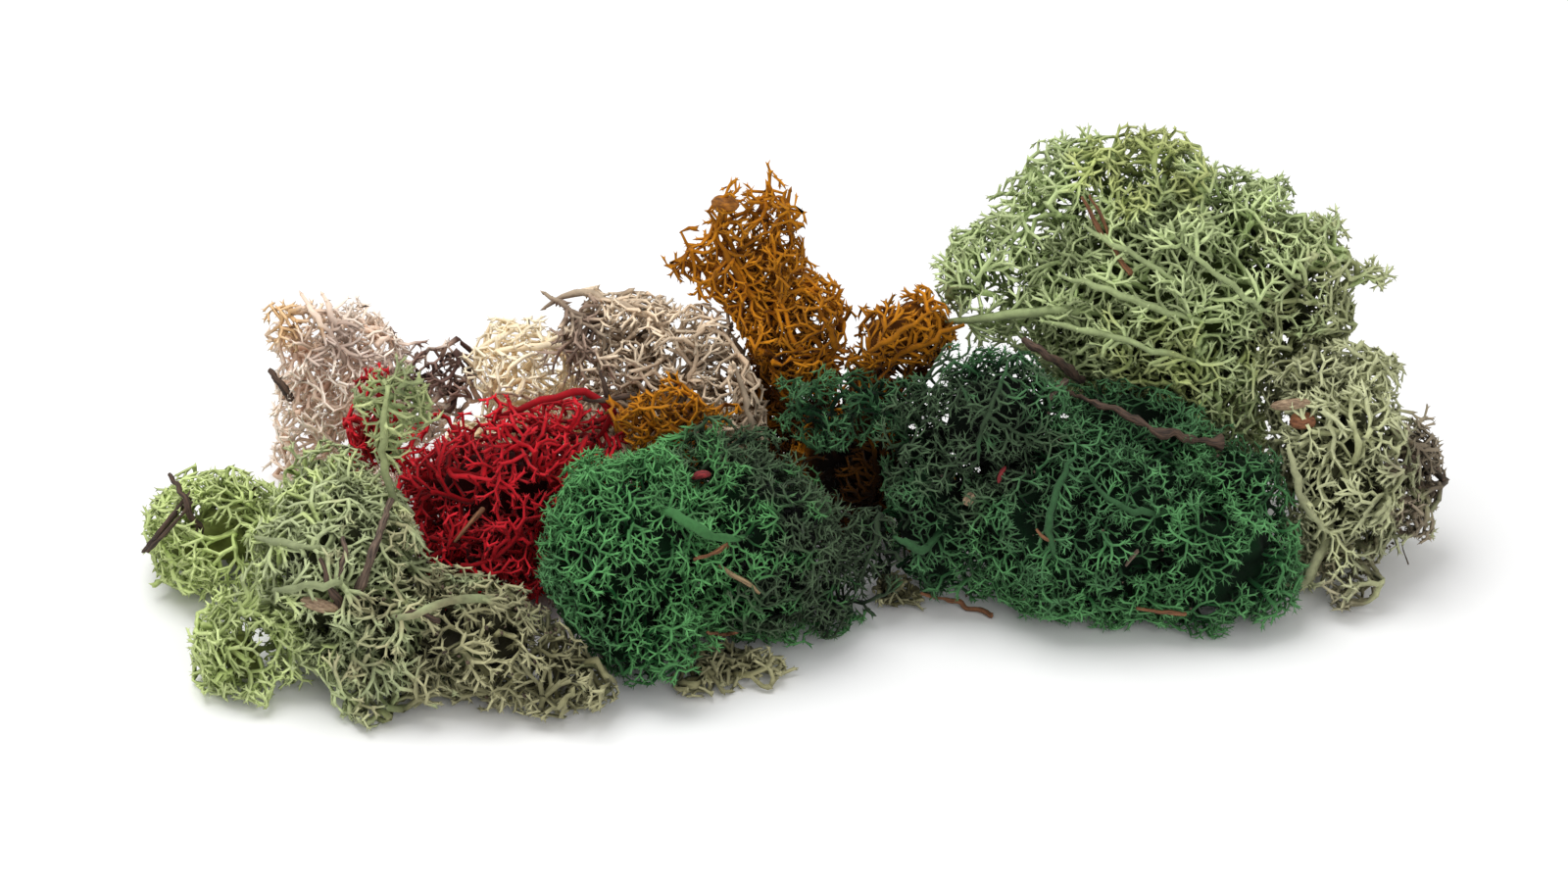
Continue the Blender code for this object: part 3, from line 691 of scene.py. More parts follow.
    def fork_out(self, buds: Buds, fork: Fork, growth: float) -> tuple[Buds, np.ndarray]:
        """Splits limbs' ends and turns the new buds apart, outwards and a little at random.

        Args:
            buds: the limbs' ends.
            fork: the round of growth.
            growth: its growth value.

        Returns:
            The buds, and whether each is wanted.
        """
        buds, aside = self.split(buds, growth)
        count = len(aside)
        buds.variety = np.clip(buds.variety + self.dice.normal(0, self.SHADE_STEP, count), 0, 1)
        tilt = np.radians(fork.tilt * self.dice.uniform(*self.TILTS, count))[:, None]
        axes = buds.axes * np.cos(tilt) + aside * np.sin(tilt)
        _, outward, _ = self.territory.own.outward(buds.middles)
        buds.axes = unit(axes + outward * fork.pull + self.dice.normal(0, self.WANDER, axes.shape))
        return buds, self.dice.uniform(0, 1, count) < fork.share


class Nodes:
    """A short way to write a node tree."""

    def __init__(self, tree: bpy.types.NodeTree) -> None:
        """Takes the tree to write in."""
        self.tree = tree

    def add(self, kind: str, inputs: dict | None = None, **settings: object) -> bpy.types.Node:
        """Adds a node.

        Args:
            kind: the node's type, without the words ShaderNode.
            inputs: its inputs by name or number: a value, or another node's output.
            settings: its own properties.

        Returns:
            The new node.
        """
        node = self.tree.nodes.new("ShaderNode" + kind)
        for key, value in settings.items():
            setattr(node, key, value)
        self.fill(node, inputs or {})
        return node

    def fill(self, node: bpy.types.Node, inputs: dict) -> None:
        """Fills a node's inputs.

        Args:
            node: the node.
            inputs: its inputs by name or number: a value, or another node's output.
        """
        for key, value in inputs.items():
            if isinstance(value, bpy.types.NodeSocket):
                self.tree.links.new(value, node.inputs[key])
            else:
                node.inputs[key].default_value = value

    def attribute(self, name: str) -> bpy.types.NodeSocket:
        """A value of the mesh's own, by its name."""
        return self.add("Attribute", attribute_name=name).outputs["Fac"]

    def mix(
        self, share: object, first: bpy.types.NodeSocket, second: bpy.types.NodeSocket, blend: str = "MIX"
    ) -> bpy.types.NodeSocket:
        """Mixes two colours.

        Args:
            share: how much of the second, as a number or an output.
            first: the first colour.
            second: the second colour.
            blend: the way to mix.

        Returns:
            The mixed colour.
        """
        inputs = {0: share, 6: first, 7: second}
        return self.add("Mix", inputs, data_type="RGBA", blend_type=blend).outputs[2]

    def times(self, value: bpy.types.NodeSocket, factor: object) -> bpy.types.NodeSocket:
        """A value times a number or another output."""
        return self.add("Math", {0: value, 1: factor}, operation="MULTIPLY").outputs[0]

    def span(
        self,
        value: bpy.types.NodeSocket,
        given: tuple[float, float],
        wanted: tuple[float, float],
        clamp: bool = True,
    ) -> bpy.types.NodeSocket:
        """Maps a value from one range to another.

        Args:
            value: the value.
            given: the range that it comes in.
            wanted: the range that it goes to.
            clamp: whether it stays inside that range.

        Returns:
            The new value.
        """
        ends = {1: given[0], 2: given[1], 3: wanted[0], 4: wanted[1]}
        return self.add("MapRange", {0: value, **ends}, clamp=clamp).outputs[0]

    def grey(self, value: bpy.types.NodeSocket) -> bpy.types.NodeSocket:
        """The grey of a value."""
        return self.add("CombineColor", {0: value, 1: value, 2: value}).outputs[0]

    def ramp(self, value: bpy.types.NodeSocket, stops: list[tuple[float, Colour]]) -> bpy.types.NodeSocket:
        """Turns a value into a colour.

        Args:
            value: the value.
            stops: places from 0 to 1 and their colours.

        Returns:
            The colour.
        """
        node = self.add("ValToRGB", {"Fac": value})
        elements = node.color_ramp.elements
        while len(elements) < len(stops):
            elements.new(0.5)
        for element, (place, colour) in zip(elements, stops):
            element.position = place
            element.color = (*colour, 1.0)
        return node.outputs["Color"]


class Grains(Enum):
    """The surface effects that several materials share, each a shader node group: its name, the
    detail of its noise and the noise's scale."""

    FELT = ("lichen felt", 4.0, 900.0)
    BARK = ("dry bark", 6.0, 2600.0)

    def group(self) -> bpy.types.NodeTree:
        """Builds the group, unless it is there: a fine and a broad noise, whose sum makes the colour
        lighter and darker, and whose fine part makes it rougher and gives a height.

        Returns:
            The group's node tree.
        """
        name, detail, _ = self.value
        made = bpy.data.node_groups.get(name)
        if made:
            return made
        made = bpy.data.node_groups.new(name, "ShaderNodeTree")
        for way, sockets in (
            ("INPUT", {"Color": "Color", "Vector": "Vector", "Scale": "Float", "Mottle": "Float"}),
            ("OUTPUT", {"Color": "Color", "Roughness": "Float", "Height": "Float"}),
        ):
            for socket, kind in sockets.items():
                made.interface.new_socket(socket, in_out=way, socket_type="NodeSocket" + kind)
        nodes = Nodes(made)
        given = made.nodes.new("NodeGroupInput").outputs
        broad = nodes.times(given["Scale"], BROAD_SHARE)
        fine, patches = (
            nodes.add("TexNoise", {"Vector": given["Vector"], "Scale": scale, "Detail": depth}).outputs[0]
            for scale, depth in ((given["Scale"], detail), (broad, BROAD_DETAIL))
        )
        both = nodes.add("Math", {0: fine, 1: patches}, operation="ADD").outputs[0]
        spread = nodes.grey(nodes.span(both, (0.7, 1.3), (0.55, 1.35)))
        mottled = nodes.mix(given["Mottle"], given["Color"], spread, "MULTIPLY")
        rough = nodes.span(fine, (0.3, 0.7), (0.72, 0.96))
        put = made.nodes.new("NodeGroupOutput")
        nodes.fill(put, {"Color": mottled, "Roughness": rough, "Height": fine})
        return made

    def cover(
        self, nodes: Nodes, colour: bpy.types.NodeSocket, mottle: float
    ) -> tuple[bpy.types.Node, bpy.types.NodeSocket]:
        """Runs a material's colour through the effect into its Principled BSDF.

        Args:
            nodes: the material's nodes.
            colour: its colour.
            mottle: how strongly the effect changes it.

        Returns:
            The Principled BSDF and the effect's height.
        """
        place = nodes.add("TexCoord").outputs["Object"]
        inputs = {"Color": colour, "Vector": place, "Scale": self.value[2], "Mottle": mottle}
        grain = nodes.add("Group", inputs, node_tree=self.group()).outputs
        shader = nodes.tree.nodes["Principled BSDF"]
        nodes.fill(shader, {"Base Color": grain["Color"], "Roughness": grain["Roughness"]})
        return shader, grain["Height"]


def new_material(name: str) -> tuple[bpy.types.Material, Nodes]:
    """Starts a material.

    Args:
        name: its name.

    Returns:
        The material and its nodes.
    """
    material = bpy.data.materials.new(name)
    material.use_nodes = True
    return material, Nodes(material.node_tree)


@dataclass(frozen=True)
class Shade:
    """The colours of one dye, from a tuft's inside, darkened as painted shade, over its stems to its tips.
    """

    deep: Colour
    stem: Colour
    tip: Colour


class Dye(Enum):
    """The dyes and natural shades that show in the clump, and two darker ones that paint the shade in the
    hollow between the tufts.
    """

    FRESH_LIME = Shade((0.2, 0.24, 0.05), (0.5, 0.62, 0.21), (0.62, 0.72, 0.31))
    GREY_LIME = Shade((0.026, 0.03, 0.008), (0.27, 0.32, 0.14), (0.47, 0.53, 0.29))
    SPRIG = Shade((0.100, 0.120, 0.035), (0.45, 0.55, 0.25), (0.56, 0.62, 0.29))
    DULL_OLIVE = Shade((0.012, 0.01, 0.003), (0.165, 0.155, 0.073), (0.44, 0.42, 0.24))
    MAUVE = Shade((0.6, 0.36, 0.25), (0.93, 0.72, 0.57), (0.97, 0.85, 0.73))
    DARK_MAUVE = Shade((0.030, 0.012, 0.010), (0.110, 0.058, 0.048), (0.32, 0.20, 0.16))
    TAN = Shade((0.24, 0.11, 0.035), (0.62, 0.38, 0.18), (0.76, 0.53, 0.3))
    CREAM = Shade((0.85, 0.62, 0.34), (0.97, 0.82, 0.57), (0.98, 0.87, 0.66))
    BEIGE = Shade((0.11, 0.058, 0.026), (0.64, 0.48, 0.33), (0.84, 0.69, 0.51))
    RED = Shade((0.040, 0.0005, 0.0008), (0.40, 0.006, 0.012), (0.64, 0.018, 0.030))
    OCHRE = Shade((0.06, 0.014, 0.0004), (0.38, 0.125, 0.003), (0.54, 0.21, 0.009))
    # painted shade: ochre darkened where it lies in the hollow between the tufts
    OCHRE_PAINTED_SHADE = Shade((0.006, 0.002, 0.0004), (0.075, 0.020, 0.001), (0.20, 0.065, 0.004))
    # painted shade: a near-black ochre for the deepest part of the hollow between the tufts
    CAVE_PAINTED_SHADE = Shade((0.002, 0.001, 0.0004), (0.020, 0.007, 0.001), (0.085, 0.030, 0.003))
    EMERALD = Shade((0.0004, 0.007, 0.0015), (0.009, 0.078, 0.018), (0.118, 0.345, 0.115))
    DARK_EMERALD = Shade((0.0003, 0.003, 0.001), (0.006, 0.042, 0.012), (0.082, 0.21, 0.085))
    GREY_EMERALD = Shade((0.0002, 0.0008, 0.0003), (0.005, 0.012, 0.005), (0.07, 0.11, 0.058))
    PALE_GREEN = Shade((0.06, 0.09, 0.016), (0.37, 0.48, 0.19), (0.51, 0.6, 0.3))
    YELLOW_GREEN = Shade((0.07, 0.085, 0.012), (0.35, 0.42, 0.135), (0.46, 0.51, 0.2))
    PALE_OLIVE = Shade((0.035, 0.04, 0.01), (0.28, 0.305, 0.135), (0.46, 0.49, 0.265))
    SAGE = Shade((0.036, 0.038, 0.014), (0.36, 0.375, 0.195), (0.54, 0.56, 0.33))
    PEAT = Shade((0.014, 0.01, 0.005), (0.12, 0.088, 0.056), (0.33, 0.275, 0.195))


@dataclass(frozen=True)
class Patch:
    """A part of a tuft that has another shade: a soft ball round a point."""

    dye: Dye
    centre: Point
    radius: float
    strength: float = 1.0


@dataclass(frozen=True)
class LichenFinish:
    """How dyed lichen looks: one dye, and patches of others, some of them painted shade. Its limbs
    lighten from the painted shade of the inside to their tips, each has a shade of its own, and a
    fine felt makes it matt."""

    name: str
    dye: Dye
    patches: tuple[Patch, ...] = ()
    mottle: float = 0.55
    dimmest: float = 0.62

    BRIGHTEST = 1.22
    SHEEN = 0.04
    SPECULAR = 0.12
    BUMP = {"Distance": 0.0002, "Strength": 0.6}

    def shade(self, nodes: Nodes, dye: Dye, growth: bpy.types.NodeSocket) -> bpy.types.NodeSocket:
        """One dye's colour from the painted shade deep inside over the stems to the tips."""
        shade = dye.value
        return nodes.ramp(growth, [(0.0, shade.deep), (0.5, shade.stem), (1.0, shade.tip)])

    def material(self) -> bpy.types.Material:
        """Builds the material.

        Returns:
            The new material.
        """
        material, nodes = new_material(self.name)
        # the growth value also carries the painted shade of the depth below the outline
        growth = nodes.attribute("growth")
        colour = self.shade(nodes, self.dye, growth)
        for number, patch in enumerate(self.patches):
            shade = self.shade(nodes, patch.dye, growth)
            colour = nodes.mix(nodes.attribute(f"patch_{number}"), colour, shade)
        # the cores' tone lies below zero, so their colour falls below the dimmest: painted shade
        range_of_shades = (self.dimmest, self.BRIGHTEST)
        light = nodes.span(nodes.attribute("variety"), (0.0, 1.0), range_of_shades, clamp=False)
        colour = nodes.mix(1.0, colour, nodes.grey(light), "MULTIPLY")
        shader, height = Grains.FELT.cover(nodes, colour, self.mottle)
        bump = nodes.add("Bump", {"Height": height, **self.BUMP}).outputs["Normal"]
        matt = {"Sheen Weight": self.SHEEN, "Specular IOR Level": self.SPECULAR}
        nodes.fill(shader, {"Normal": bump, **matt})
        return material


@dataclass(frozen=True)
class WoodFinish:
    """How a dry twig, needle or scale looks: streaks along it between two colours, and dull."""

    name: str
    dark: Colour
    light: Colour

    MOTTLE = 0.7
    STRETCH = 0.12
    NOISE = {"Scale": 2.6, "Detail": 6.0}
    BUMP = {"Distance": 0.0004, "Strength": 0.8}

    def material(self) -> bpy.types.Material:
        """Builds the material, whose streaks follow the twig by its own values round and along it.

        Returns:
            The new material.
        """
        material, nodes = new_material(self.name)
        along = nodes.times(nodes.attribute("along"), self.STRETCH)
        sides = {0: nodes.attribute("round_x"), 1: nodes.attribute("round_y"), 2: along}
        place = nodes.add("CombineXYZ", sides).outputs[0]
        streak = nodes.add("TexNoise", {"Vector": place, **self.NOISE}).outputs[0]
        grown = nodes.span(streak, (0.32, 0.68), (0.0, 1.0))
        colour = nodes.ramp(grown, [(0.0, self.dark), (1.0, self.light)])
        shader, _ = Grains.BARK.cover(nodes, colour, self.MOTTLE)
        bump = nodes.add("Bump", {"Height": streak, **self.BUMP}).outputs["Normal"]
        nodes.fill(shader, {"Normal": bump})
        return material


@dataclass(frozen=True)
class Stem:
    """A thick stem that shows at a tuft's surface: its path and its thickness."""

    path: tuple[Point, ...]
    thickness: float


@dataclass(frozen=True)
class Tuft:
    """One dyed tuft: its lobes as (x, y, z, x radius, y radius, z radius), its finish and habit,
    the stems that show, and how many runners and loose forks lie along its surface. Filled is how
    deep its forks stay dense, and core how far its inside, coloured dark as painted shade, lies below its
    outline."""

    name: str
    finish: LichenFinish
    lobes: tuple[tuple[float, ...], ...]
    habit: Habit = Habit.DENSE
    stems: tuple[Stem, ...] = ()
    runners: int = 0
    runner_size: float = 0.8
    forks: int = 0
    fork_round: int = 0
    filled: float = 7.5
    flow: Point = (0.0, 0.0, 0.0)
    core: float = 9.0
    # how strongly the depth below the outline darkens the tuft as painted shade
    painted_depth_shade: float = 1.0
    billow: float = 1.5
    seed: int = 1

    ROOT_DEPTH = 13.0
    ROOT_BAND = (0.55, 1.1)
    ROOT_SPACING = 5.5
    ROOT_ROOM = 4.0
    ROOT_TURN = 0.25
    INNER_SHARE = 0.8
    LOWEST_ROOT = 1.0
    LOW = 12.0
    SEEN_FROM = 6.0
    TRIES = 400
    NEAR_DEPTH = 1.2
    DOWNMOST = -0.3
    FORK_DEPTH = 4.2
    FORK_RISE = 0.22
    FLOW_PULL = 2.5
    RUNNER_DEPTHS = (3.5, 3.2, 2.0)
    RUNNER_LENGTH = 20.0
    RUNNER_RINGS = 9
    RUNNER_TURN = 0.22
    RUNNER_HOLD = 0.45
    RUNNER_GROUND = 2.0
    STEM_RINGS = 14
    STEM_SIDES = 6
    STEM_GROWTH = 0.55
    STEM_WANDER = 0.25
    STEM_TAPER = (0.92, 0.5)
    STEM_ROUGH = 0.08
    RUNNER_SIZES = (0.7, 1.1)
    RUNNER_TAPER = (1.0, 0.5)
    RUNNER_ROUGH = 0.10
    SPROUT_ROUND = 3
    SPROUTS = 3
    SPROUT_ALONG = 0.5
    SPROUT_ASIDE = (0.3, 1.0)
    SPROUT_OUT = 0.35
    SPROUT_TURN = 0.2
    CORE_AROUND = 24
    CORE_DOWN = 12
    CORE_LEAST = 2.6
    CORE_ROUGH = 1.9
    CORE_FLOOR = 0.6
    CORE_PAINTED_SHADE = -0.75
    # painted shade: the depth over which the inside darkens, its darkest share, and how depth and growth
    # mix
    DARK_DEPTH = 9.0
    DARKEST = 0.25
    LIT_BY_DEPTH = 0.55
    LIT_BY_GROWTH = 0.5
    CHANGE = 0.22
    CHANGE_WIDTH = 11.0
    PATCH_WIDTH = 9.0
    PATCH_UNEVEN = 0.28
    PATCH_BY_LIMB = 0.35
    PATCH_EDGE = 2.4

    def envelope(self) -> Envelope:
        """The tuft's outline."""
        return Envelope(np.array(self.lobes, float))

    def roots(self, growth: Growth) -> tuple[np.ndarray, np.ndarray]:
        """Where limbs start: spread through the inside, at a depth below the outline that is a
        share of the lobe's thickness, each pointing out.

        Args:
            growth: holds the territory and the random draws.

        Returns:
            The starts and the directions.
        """
        dice, territory = growth.dice, growth.territory
        low, high = territory.own.box(0.0)
        low[2] = max(low[2], self.LOWEST_ROOT)
        points = dice.uniform(low, high, (int(np.prod(high - low) / self.ROOT_ROOM), 3))
        reach, outward, thin = territory.own.outward(points)
        depth = np.minimum(self.ROOT_DEPTH, self.INNER_SHARE * thin)
        least, most = self.ROOT_BAND
        fits = (-reach > least * depth) & (-reach < most * depth) & territory.free(points)
        points, outward = points[fits], outward[fits]
        keep = Growth(Shell(), territory, self.habit.value, dice).uncrowded(points, self.ROOT_SPACING)
        points, outward = points[keep], outward[keep]
        outward[:, 2] = np.maximum(outward[:, 2], np.where(points[:, 2] < self.LOW, -0.1, -0.6))
        turn = dice.normal(0, self.ROOT_TURN, points.shape)
        return points, unit(outward + np.array(self.flow) + turn)

    def just_inside(self, growth: Growth, depth: float, count: int) -> tuple[np.ndarray, np.ndarray]:
        """Random places a little below the outline, on the sides that can be seen.

        Args:
            growth: holds the territory and the random draws.
            depth: how far below the outline.
            count: how many to find at most.

        Returns:
            The places and the ways out from them.
        """
        own = growth.territory.own
        low, high = own.box(0.0)
        low[2] = max(low[2], self.SEEN_FROM)
        points = growth.dice.uniform(low, high, (count * self.TRIES, 3))
        reach, outward, _ = own.outward(points)
        fits = (np.abs(reach + depth) < self.NEAR_DEPTH) & (outward[:, 2] > self.DOWNMOST)
        fits &= growth.territory.free(points)
        return points[fits][:count], outward[fits][:count]

    def fork_starts(self, growth: Growth) -> tuple[np.ndarray, np.ndarray]:
        """Where the thick forks start that lie along the surface.

        Args:
            growth: holds the territory and the random draws.

        Returns:
            The starts and the directions.
        """
        points, outward = self.just_inside(growth, self.FORK_DEPTH, self.forks)
        way = growth.dice.normal(0, 1.0, points.shape) + np.array(self.flow) * self.FLOW_PULL
        return points, unit(square_to(way, outward) + self.FORK_RISE * outward)

    def runner_paths(self, growth: Growth) -> np.ndarray:
        """Stems that run along just under the outline: steps along the surface, each drawn back
        to its depth below it.

        Args:
            growth: holds the territory and the random draws.

        Returns:
            The paths, (n, rings, 3).
        """
        dice, own = growth.dice, growth.territory.own
        first, deepest, rise = self.RUNNER_DEPTHS
        points, outward = self.just_inside(growth, first, self.runners)
        step = self.RUNNER_LENGTH / (self.RUNNER_RINGS - 1)
        way = dice.normal(0, 1.0, points.shape) + np.array(self.flow) * self.FLOW_PULL
        path = [points]
        for index in range(1, self.RUNNER_RINGS):
            reach, outward, _ = own.outward(points)
            way = square_to(way + dice.normal(0, self.RUNNER_TURN, way.shape), outward)
            depth = deepest - rise * index / self.RUNNER_RINGS
            points = points + way * step - outward * (self.RUNNER_HOLD * (reach + depth))[:, None]
            points[:, 2] = np.maximum(points[:, 2], self.RUNNER_GROUND)
            path.append(points)
        paths = np.stack(path, axis=1)
        inside = growth.territory.free(paths.reshape(-1, 3)).reshape(len(paths), -1).all(axis=1)
        return paths[inside]

    def add_stems(self, growth: Growth) -> None:
        """Adds the thick stems, which taper to both ends, and the runners, each with sprouts.

        Args:
            growth: holds the territory, the random draws and the shell.
        """
        dice = growth.dice
        place = np.linspace(-1, 1, self.STEM_RINGS)
        whole, less = self.STEM_TAPER
        for stem in self.stems:
            path = smooth_path(np.array(stem.path, float) + CENTRING, self.STEM_RINGS)
            path += self.STEM_WANDER * dice.normal(size=path.shape)
            taper = whole - less * np.abs(place) ** 3
            taper = taper + self.STEM_ROUGH * dice.normal(size=self.STEM_RINGS)
            self.sweep_and_sprout(growth, path[None], (taper * stem.thickness / 2)[None])
            ways = unit(np.stack([path[0] - path[2], path[-1] - path[-3]]))
            growth.grow(path[[0, -1]], ways, self.SPROUT_ROUND - 1)
        if self.runners:
            paths = self.runner_paths(growth)
            if len(paths):
                size = self.runner_size * dice.uniform(*self.RUNNER_SIZES, (len(paths), 1))
                radii = size * np.linspace(*self.RUNNER_TAPER, self.RUNNER_RINGS)
                radii = radii * (1 + self.RUNNER_ROUGH * dice.normal(size=radii.shape))
                self.sweep_and_sprout(growth, paths, radii)

    def sweep_and_sprout(self, growth: Growth, paths: np.ndarray, radii: np.ndarray) -> None:
        """Adds round stems along paths, with sprouts that leave them to both sides.

        Args:
            growth: holds the territory, the random draws and the shell.
            paths: the stems' paths, (n, m, 3).
            radii: their radii, (n, m).
        """
        dice = growth.dice
        shades = np.full(paths.shape[:2], self.STEM_GROWTH)
        sweep(growth.shell, paths, radii[..., None], self.STEM_SIDES, shades)
        growth.taken.append(paths.reshape(-1, 3))
        along = unit(np.gradient(paths, axis=1))[:, 1:].reshape(-1, 3)
        starts = paths[:, 1:].reshape(-1, 3)
        for _ in range(self.SPROUTS):
            _, outward, _ = growth.territory.own.outward(starts)
            aside = np.cross(along, outward) * dice.choice((-1.0, 1.0), (len(starts), 1))
            aside = aside * dice.uniform(*self.SPROUT_ASIDE, (len(starts), 1))
            away = unit(self.SPROUT_ALONG * along + aside + self.SPROUT_OUT * outward)
            bent = unit(away + dice.normal(0, self.SPROUT_TURN, away.shape))
            growth.grow(starts, bent, int(dice.integers(self.SPROUT_ROUND - 1, self.SPROUT_ROUND + 1)))

    def add_cores(self, growth: Growth) -> None:
        """Adds the packed inside of the thick lobes, coloured dark as painted shade: balls, given by the
        angles around and down from their poles, stretched to the lobe less its margin, made uneven by a
        random field, and flat where they meet the ground.

        Args:
            growth: holds the territory and the shell.
        """
        shell, own, around = growth.shell, growth.territory.own, self.CORE_AROUND
        rough = Waves(9.0, self.seed + 50)
        turn = np.linspace(0, 2 * math.pi, around, endpoint=False)
        down = np.linspace(0, math.pi, self.CORE_DOWN + 2)[1:-1, None]
        level = np.sin(down)
        ball = np.stack([np.cos(turn) * level, np.sin(turn) * level, np.cos(down) + 0 * turn], axis=-1)
        ball = np.vstack([ball.reshape(-1, 3), [[0.0, 0.0, 1.0], [0.0, 0.0, -1.0]]])
        for centre, radii in zip(own.centres, own.radii):
            small = radii - self.core
            if small.min() < self.CORE_LEAST:
                continue
            points = centre + ball * small
            points = points + ball * (self.CORE_ROUGH * rough.at(points))[:, None]
            points[:, 2] = np.maximum(points[:, 2], self.CORE_FLOOR)
            zero = np.zeros(len(points))
            # painted shade: the cores get the lowest growth value and a tone below any limb's, which
            # colours them dark
            numbers = shell.add_points(points, zero, zero + self.CORE_PAINTED_SHADE)
            grid = numbers[:-2].reshape(-1, around)
            ahead = np.roll(grid, -1, axis=1)
            shell.add_quads(np.stack([grid[:-1], grid[1:], ahead[1:], ahead[:-1]], axis=-1))
            shell.add_fans(grid[:1], ahead[:1], numbers[-2:-1])
            shell.add_fans(ahead[-1:], grid[-1:], numbers[-1:])

    def build(self, territory: Territory) -> bpy.types.Object:
        """Grows the tuft and dresses it. Its growth values are mixed with the depth below the
        outline, which paints shade on the inside: the deeper a point lies, the darker it is.

        Args:
            territory: the tuft's room.

        Returns:
            The piece.
        """
        dice = np.random.default_rng(self.seed)
        growth = Growth(Shell(), territory, self.habit.value, dice)
        if self.core:
            self.add_cores(growth)
            growth.thin_out_below = self.filled
        self.add_stems(growth)
        if self.forks:
            growth.grow(*self.fork_starts(growth), self.fork_round)
        growth.grow(*self.roots(growth), 0)
        shell = growth.shell
        points, marks = np.vstack(shell.points), np.vstack(shell.marks)
        # painted shade: points deeper below the outline get a lower growth value and so a darker colour
        depth = np.clip(1.0 + territory.own.reach(points) / self.DARK_DEPTH, 0.0, 1.0)
        lit = np.clip(self.LIT_BY_DEPTH * depth + self.LIT_BY_GROWTH * marks[:, 0], 0.0, 1.0)
        lit = lit * np.minimum(1.0, self.DARKEST + depth)
        marks[:, 0] = self.painted_depth_shade * lit + (1.0 - self.painted_depth_shade) * marks[:, 0]
        change = Waves(self.CHANGE_WIDTH, self.seed + 90).at(points)
        marks[:, 1] = np.clip(marks[:, 1] + self.CHANGE * change, 0.0, 1.0)
        shell.marks = [marks]
        piece = shell.to_object(self.name + "_lichen", self.patch_values(points, marks[:, 1]))
        return dress(piece, self.finish.material(), self.name)

    def patch_values(self, points: np.ndarray, variety: np.ndarray) -> dict[str, np.ndarray]:
        """How much of each patch's dye every point has: falling off round the patch's centre,
        uneven by a random field, and different from limb to limb.

        Args:
            points: the places, (n, 3).
            variety: the limbs' shades.

        Returns:
            The values by attribute name.
        """
        values = {}
        for number, patch in enumerate(self.finish.patches):
            distance = np.linalg.norm(points - np.array(patch.centre) - CENTRING, axis=1) / patch.radius
            uneven = self.PATCH_UNEVEN * Waves(self.PATCH_WIDTH, self.seed + number).at(points)
            uneven = uneven + self.PATCH_BY_LIMB * (variety - 0.5)
            share = np.clip((1.0 - distance + uneven) * self.PATCH_EDGE, 0.0, 1.0)
            values[f"patch_{number}"] = patch.strength * share * share * (3 - 2 * share)
        return values


class Sight:
    """Finds the place on the clump that shows at a pixel of the photograph."""

    NEAREST = 650.0
    FARTHEST = 1050.0
    STEP = 0.5

    def __init__(self, studio: "Studio") -> None:
        """Takes the camera's place and angle.

        Args:
            studio: the studio with the camera.
        """
        self.eye, self.ahead = studio.eye()
        self.up = np.array((0.0, -self.ahead[2], self.ahead[1]))
        self.focus = studio.lens / studio.SENSOR * IMAGE_SIZE[0]

    def find(self, pixel: tuple[float, float], outline: Envelope, lift: float) -> np.ndarray:
        """Looks along a pixel's ray for the outline, or for the ray's nearest point to it.

        Args:
            pixel: the column and row in the photograph.
            outline: the tuft's outline.
            lift: how far towards the camera from the outline.

        Returns:
            The place.
        """
        aside = (pixel[0] - IMAGE_SIZE[0] / 2) / self.focus
        down = (pixel[1] - IMAGE_SIZE[1] / 2) / self.focus
        ray = unit(self.ahead + np.array((aside, 0.0, 0.0)) - self.up * down)
        steps = np.arange(self.NEAREST, self.FARTHEST, self.STEP)
        points = self.eye + steps[:, None] * ray
        reach = outline.reach(points)
        inside = np.flatnonzero(reach <= 0)
        found = inside[0] if len(inside) else int(reach.argmin())
        return points[found] - ray * lift


@dataclass(frozen=True)
class Twig:
    """A dry twig, needle or root: the pixels that it passes, on which tuft it lies, how far it
    stands off it at each pixel, its thickness and how knotty it is."""

    name: str
    host: str
    pixels: tuple[tuple[float, float], ...]
    lifts: tuple[float, ...]
    thickness: float
    finish: WoodFinish
    tip: float = 0.55
    knots: float = 0.16
    replaces: bool = False
    seed: int = 1

    RINGS = 34
    SIDES = 10
    WAVES = 4.0
    WANDER = 0.12
    REST = 0.6
    RIBS = 0.10
    ROUGH = 0.06

    def build(self, sight: Sight, outlines: dict[str, Envelope]) -> bpy.types.Object:
        """Carries a round profile along the twig's path, with knots and ribs as bumps of its
        radius, and dresses it.

        Args:
            sight: finds the path's places.
            outlines: the tufts' outlines by name.

        Returns:
            The piece.
        """
        host = outlines[self.host]
        places = [sight.find(pixel, host, lift) for pixel, lift in zip(self.pixels, self.lifts)]
        path = smooth_path(np.array(places), self.RINGS)
        dice = np.random.default_rng(self.seed)
        bends = Waves(self.WAVES, self.seed + 5).at(path)[1:-1, None]
        path[1:-1] += self.WANDER * self.thickness * bends
        path[:, 2] = np.maximum(path[:, 2], self.REST * self.thickness)
        knotty = Waves(self.WAVES, self.seed).at(path)
        taper = np.linspace(self.tip, 1.0, self.RINGS)
        width = self.thickness / 2 * taper * (1 + self.knots * knotty)
        ribs = 1 + self.RIBS * dice.normal(size=self.SIDES)
        rough = 1 + self.ROUGH * dice.normal(size=(self.RINGS, self.SIDES))
        radii = width[:, None] * ribs * rough
        shell = Shell()
        sweep(shell, path[None], radii[None], self.SIDES, np.linspace(0, 1, self.RINGS)[None])
        angles = np.tile(np.linspace(0, 2 * math.pi, self.SIDES, endpoint=False), self.RINGS)
        lengths = np.repeat(np.linspace(0, np.linalg.norm(path[0] - path[-1]), self.RINGS), self.SIDES)
        ends = [lengths[0], lengths[-1]]
        values = {
            "along": np.concatenate([lengths, ends]),
            "round_x": np.concatenate([np.cos(angles), [0.0, 0.0]]),
            "round_y": np.concatenate([np.sin(angles), [0.0, 0.0]]),
        }
        piece = shell.to_object(self.name + "_wood", values)
        return dress(piece, self.finish.material(), self.name if self.replaces else "")


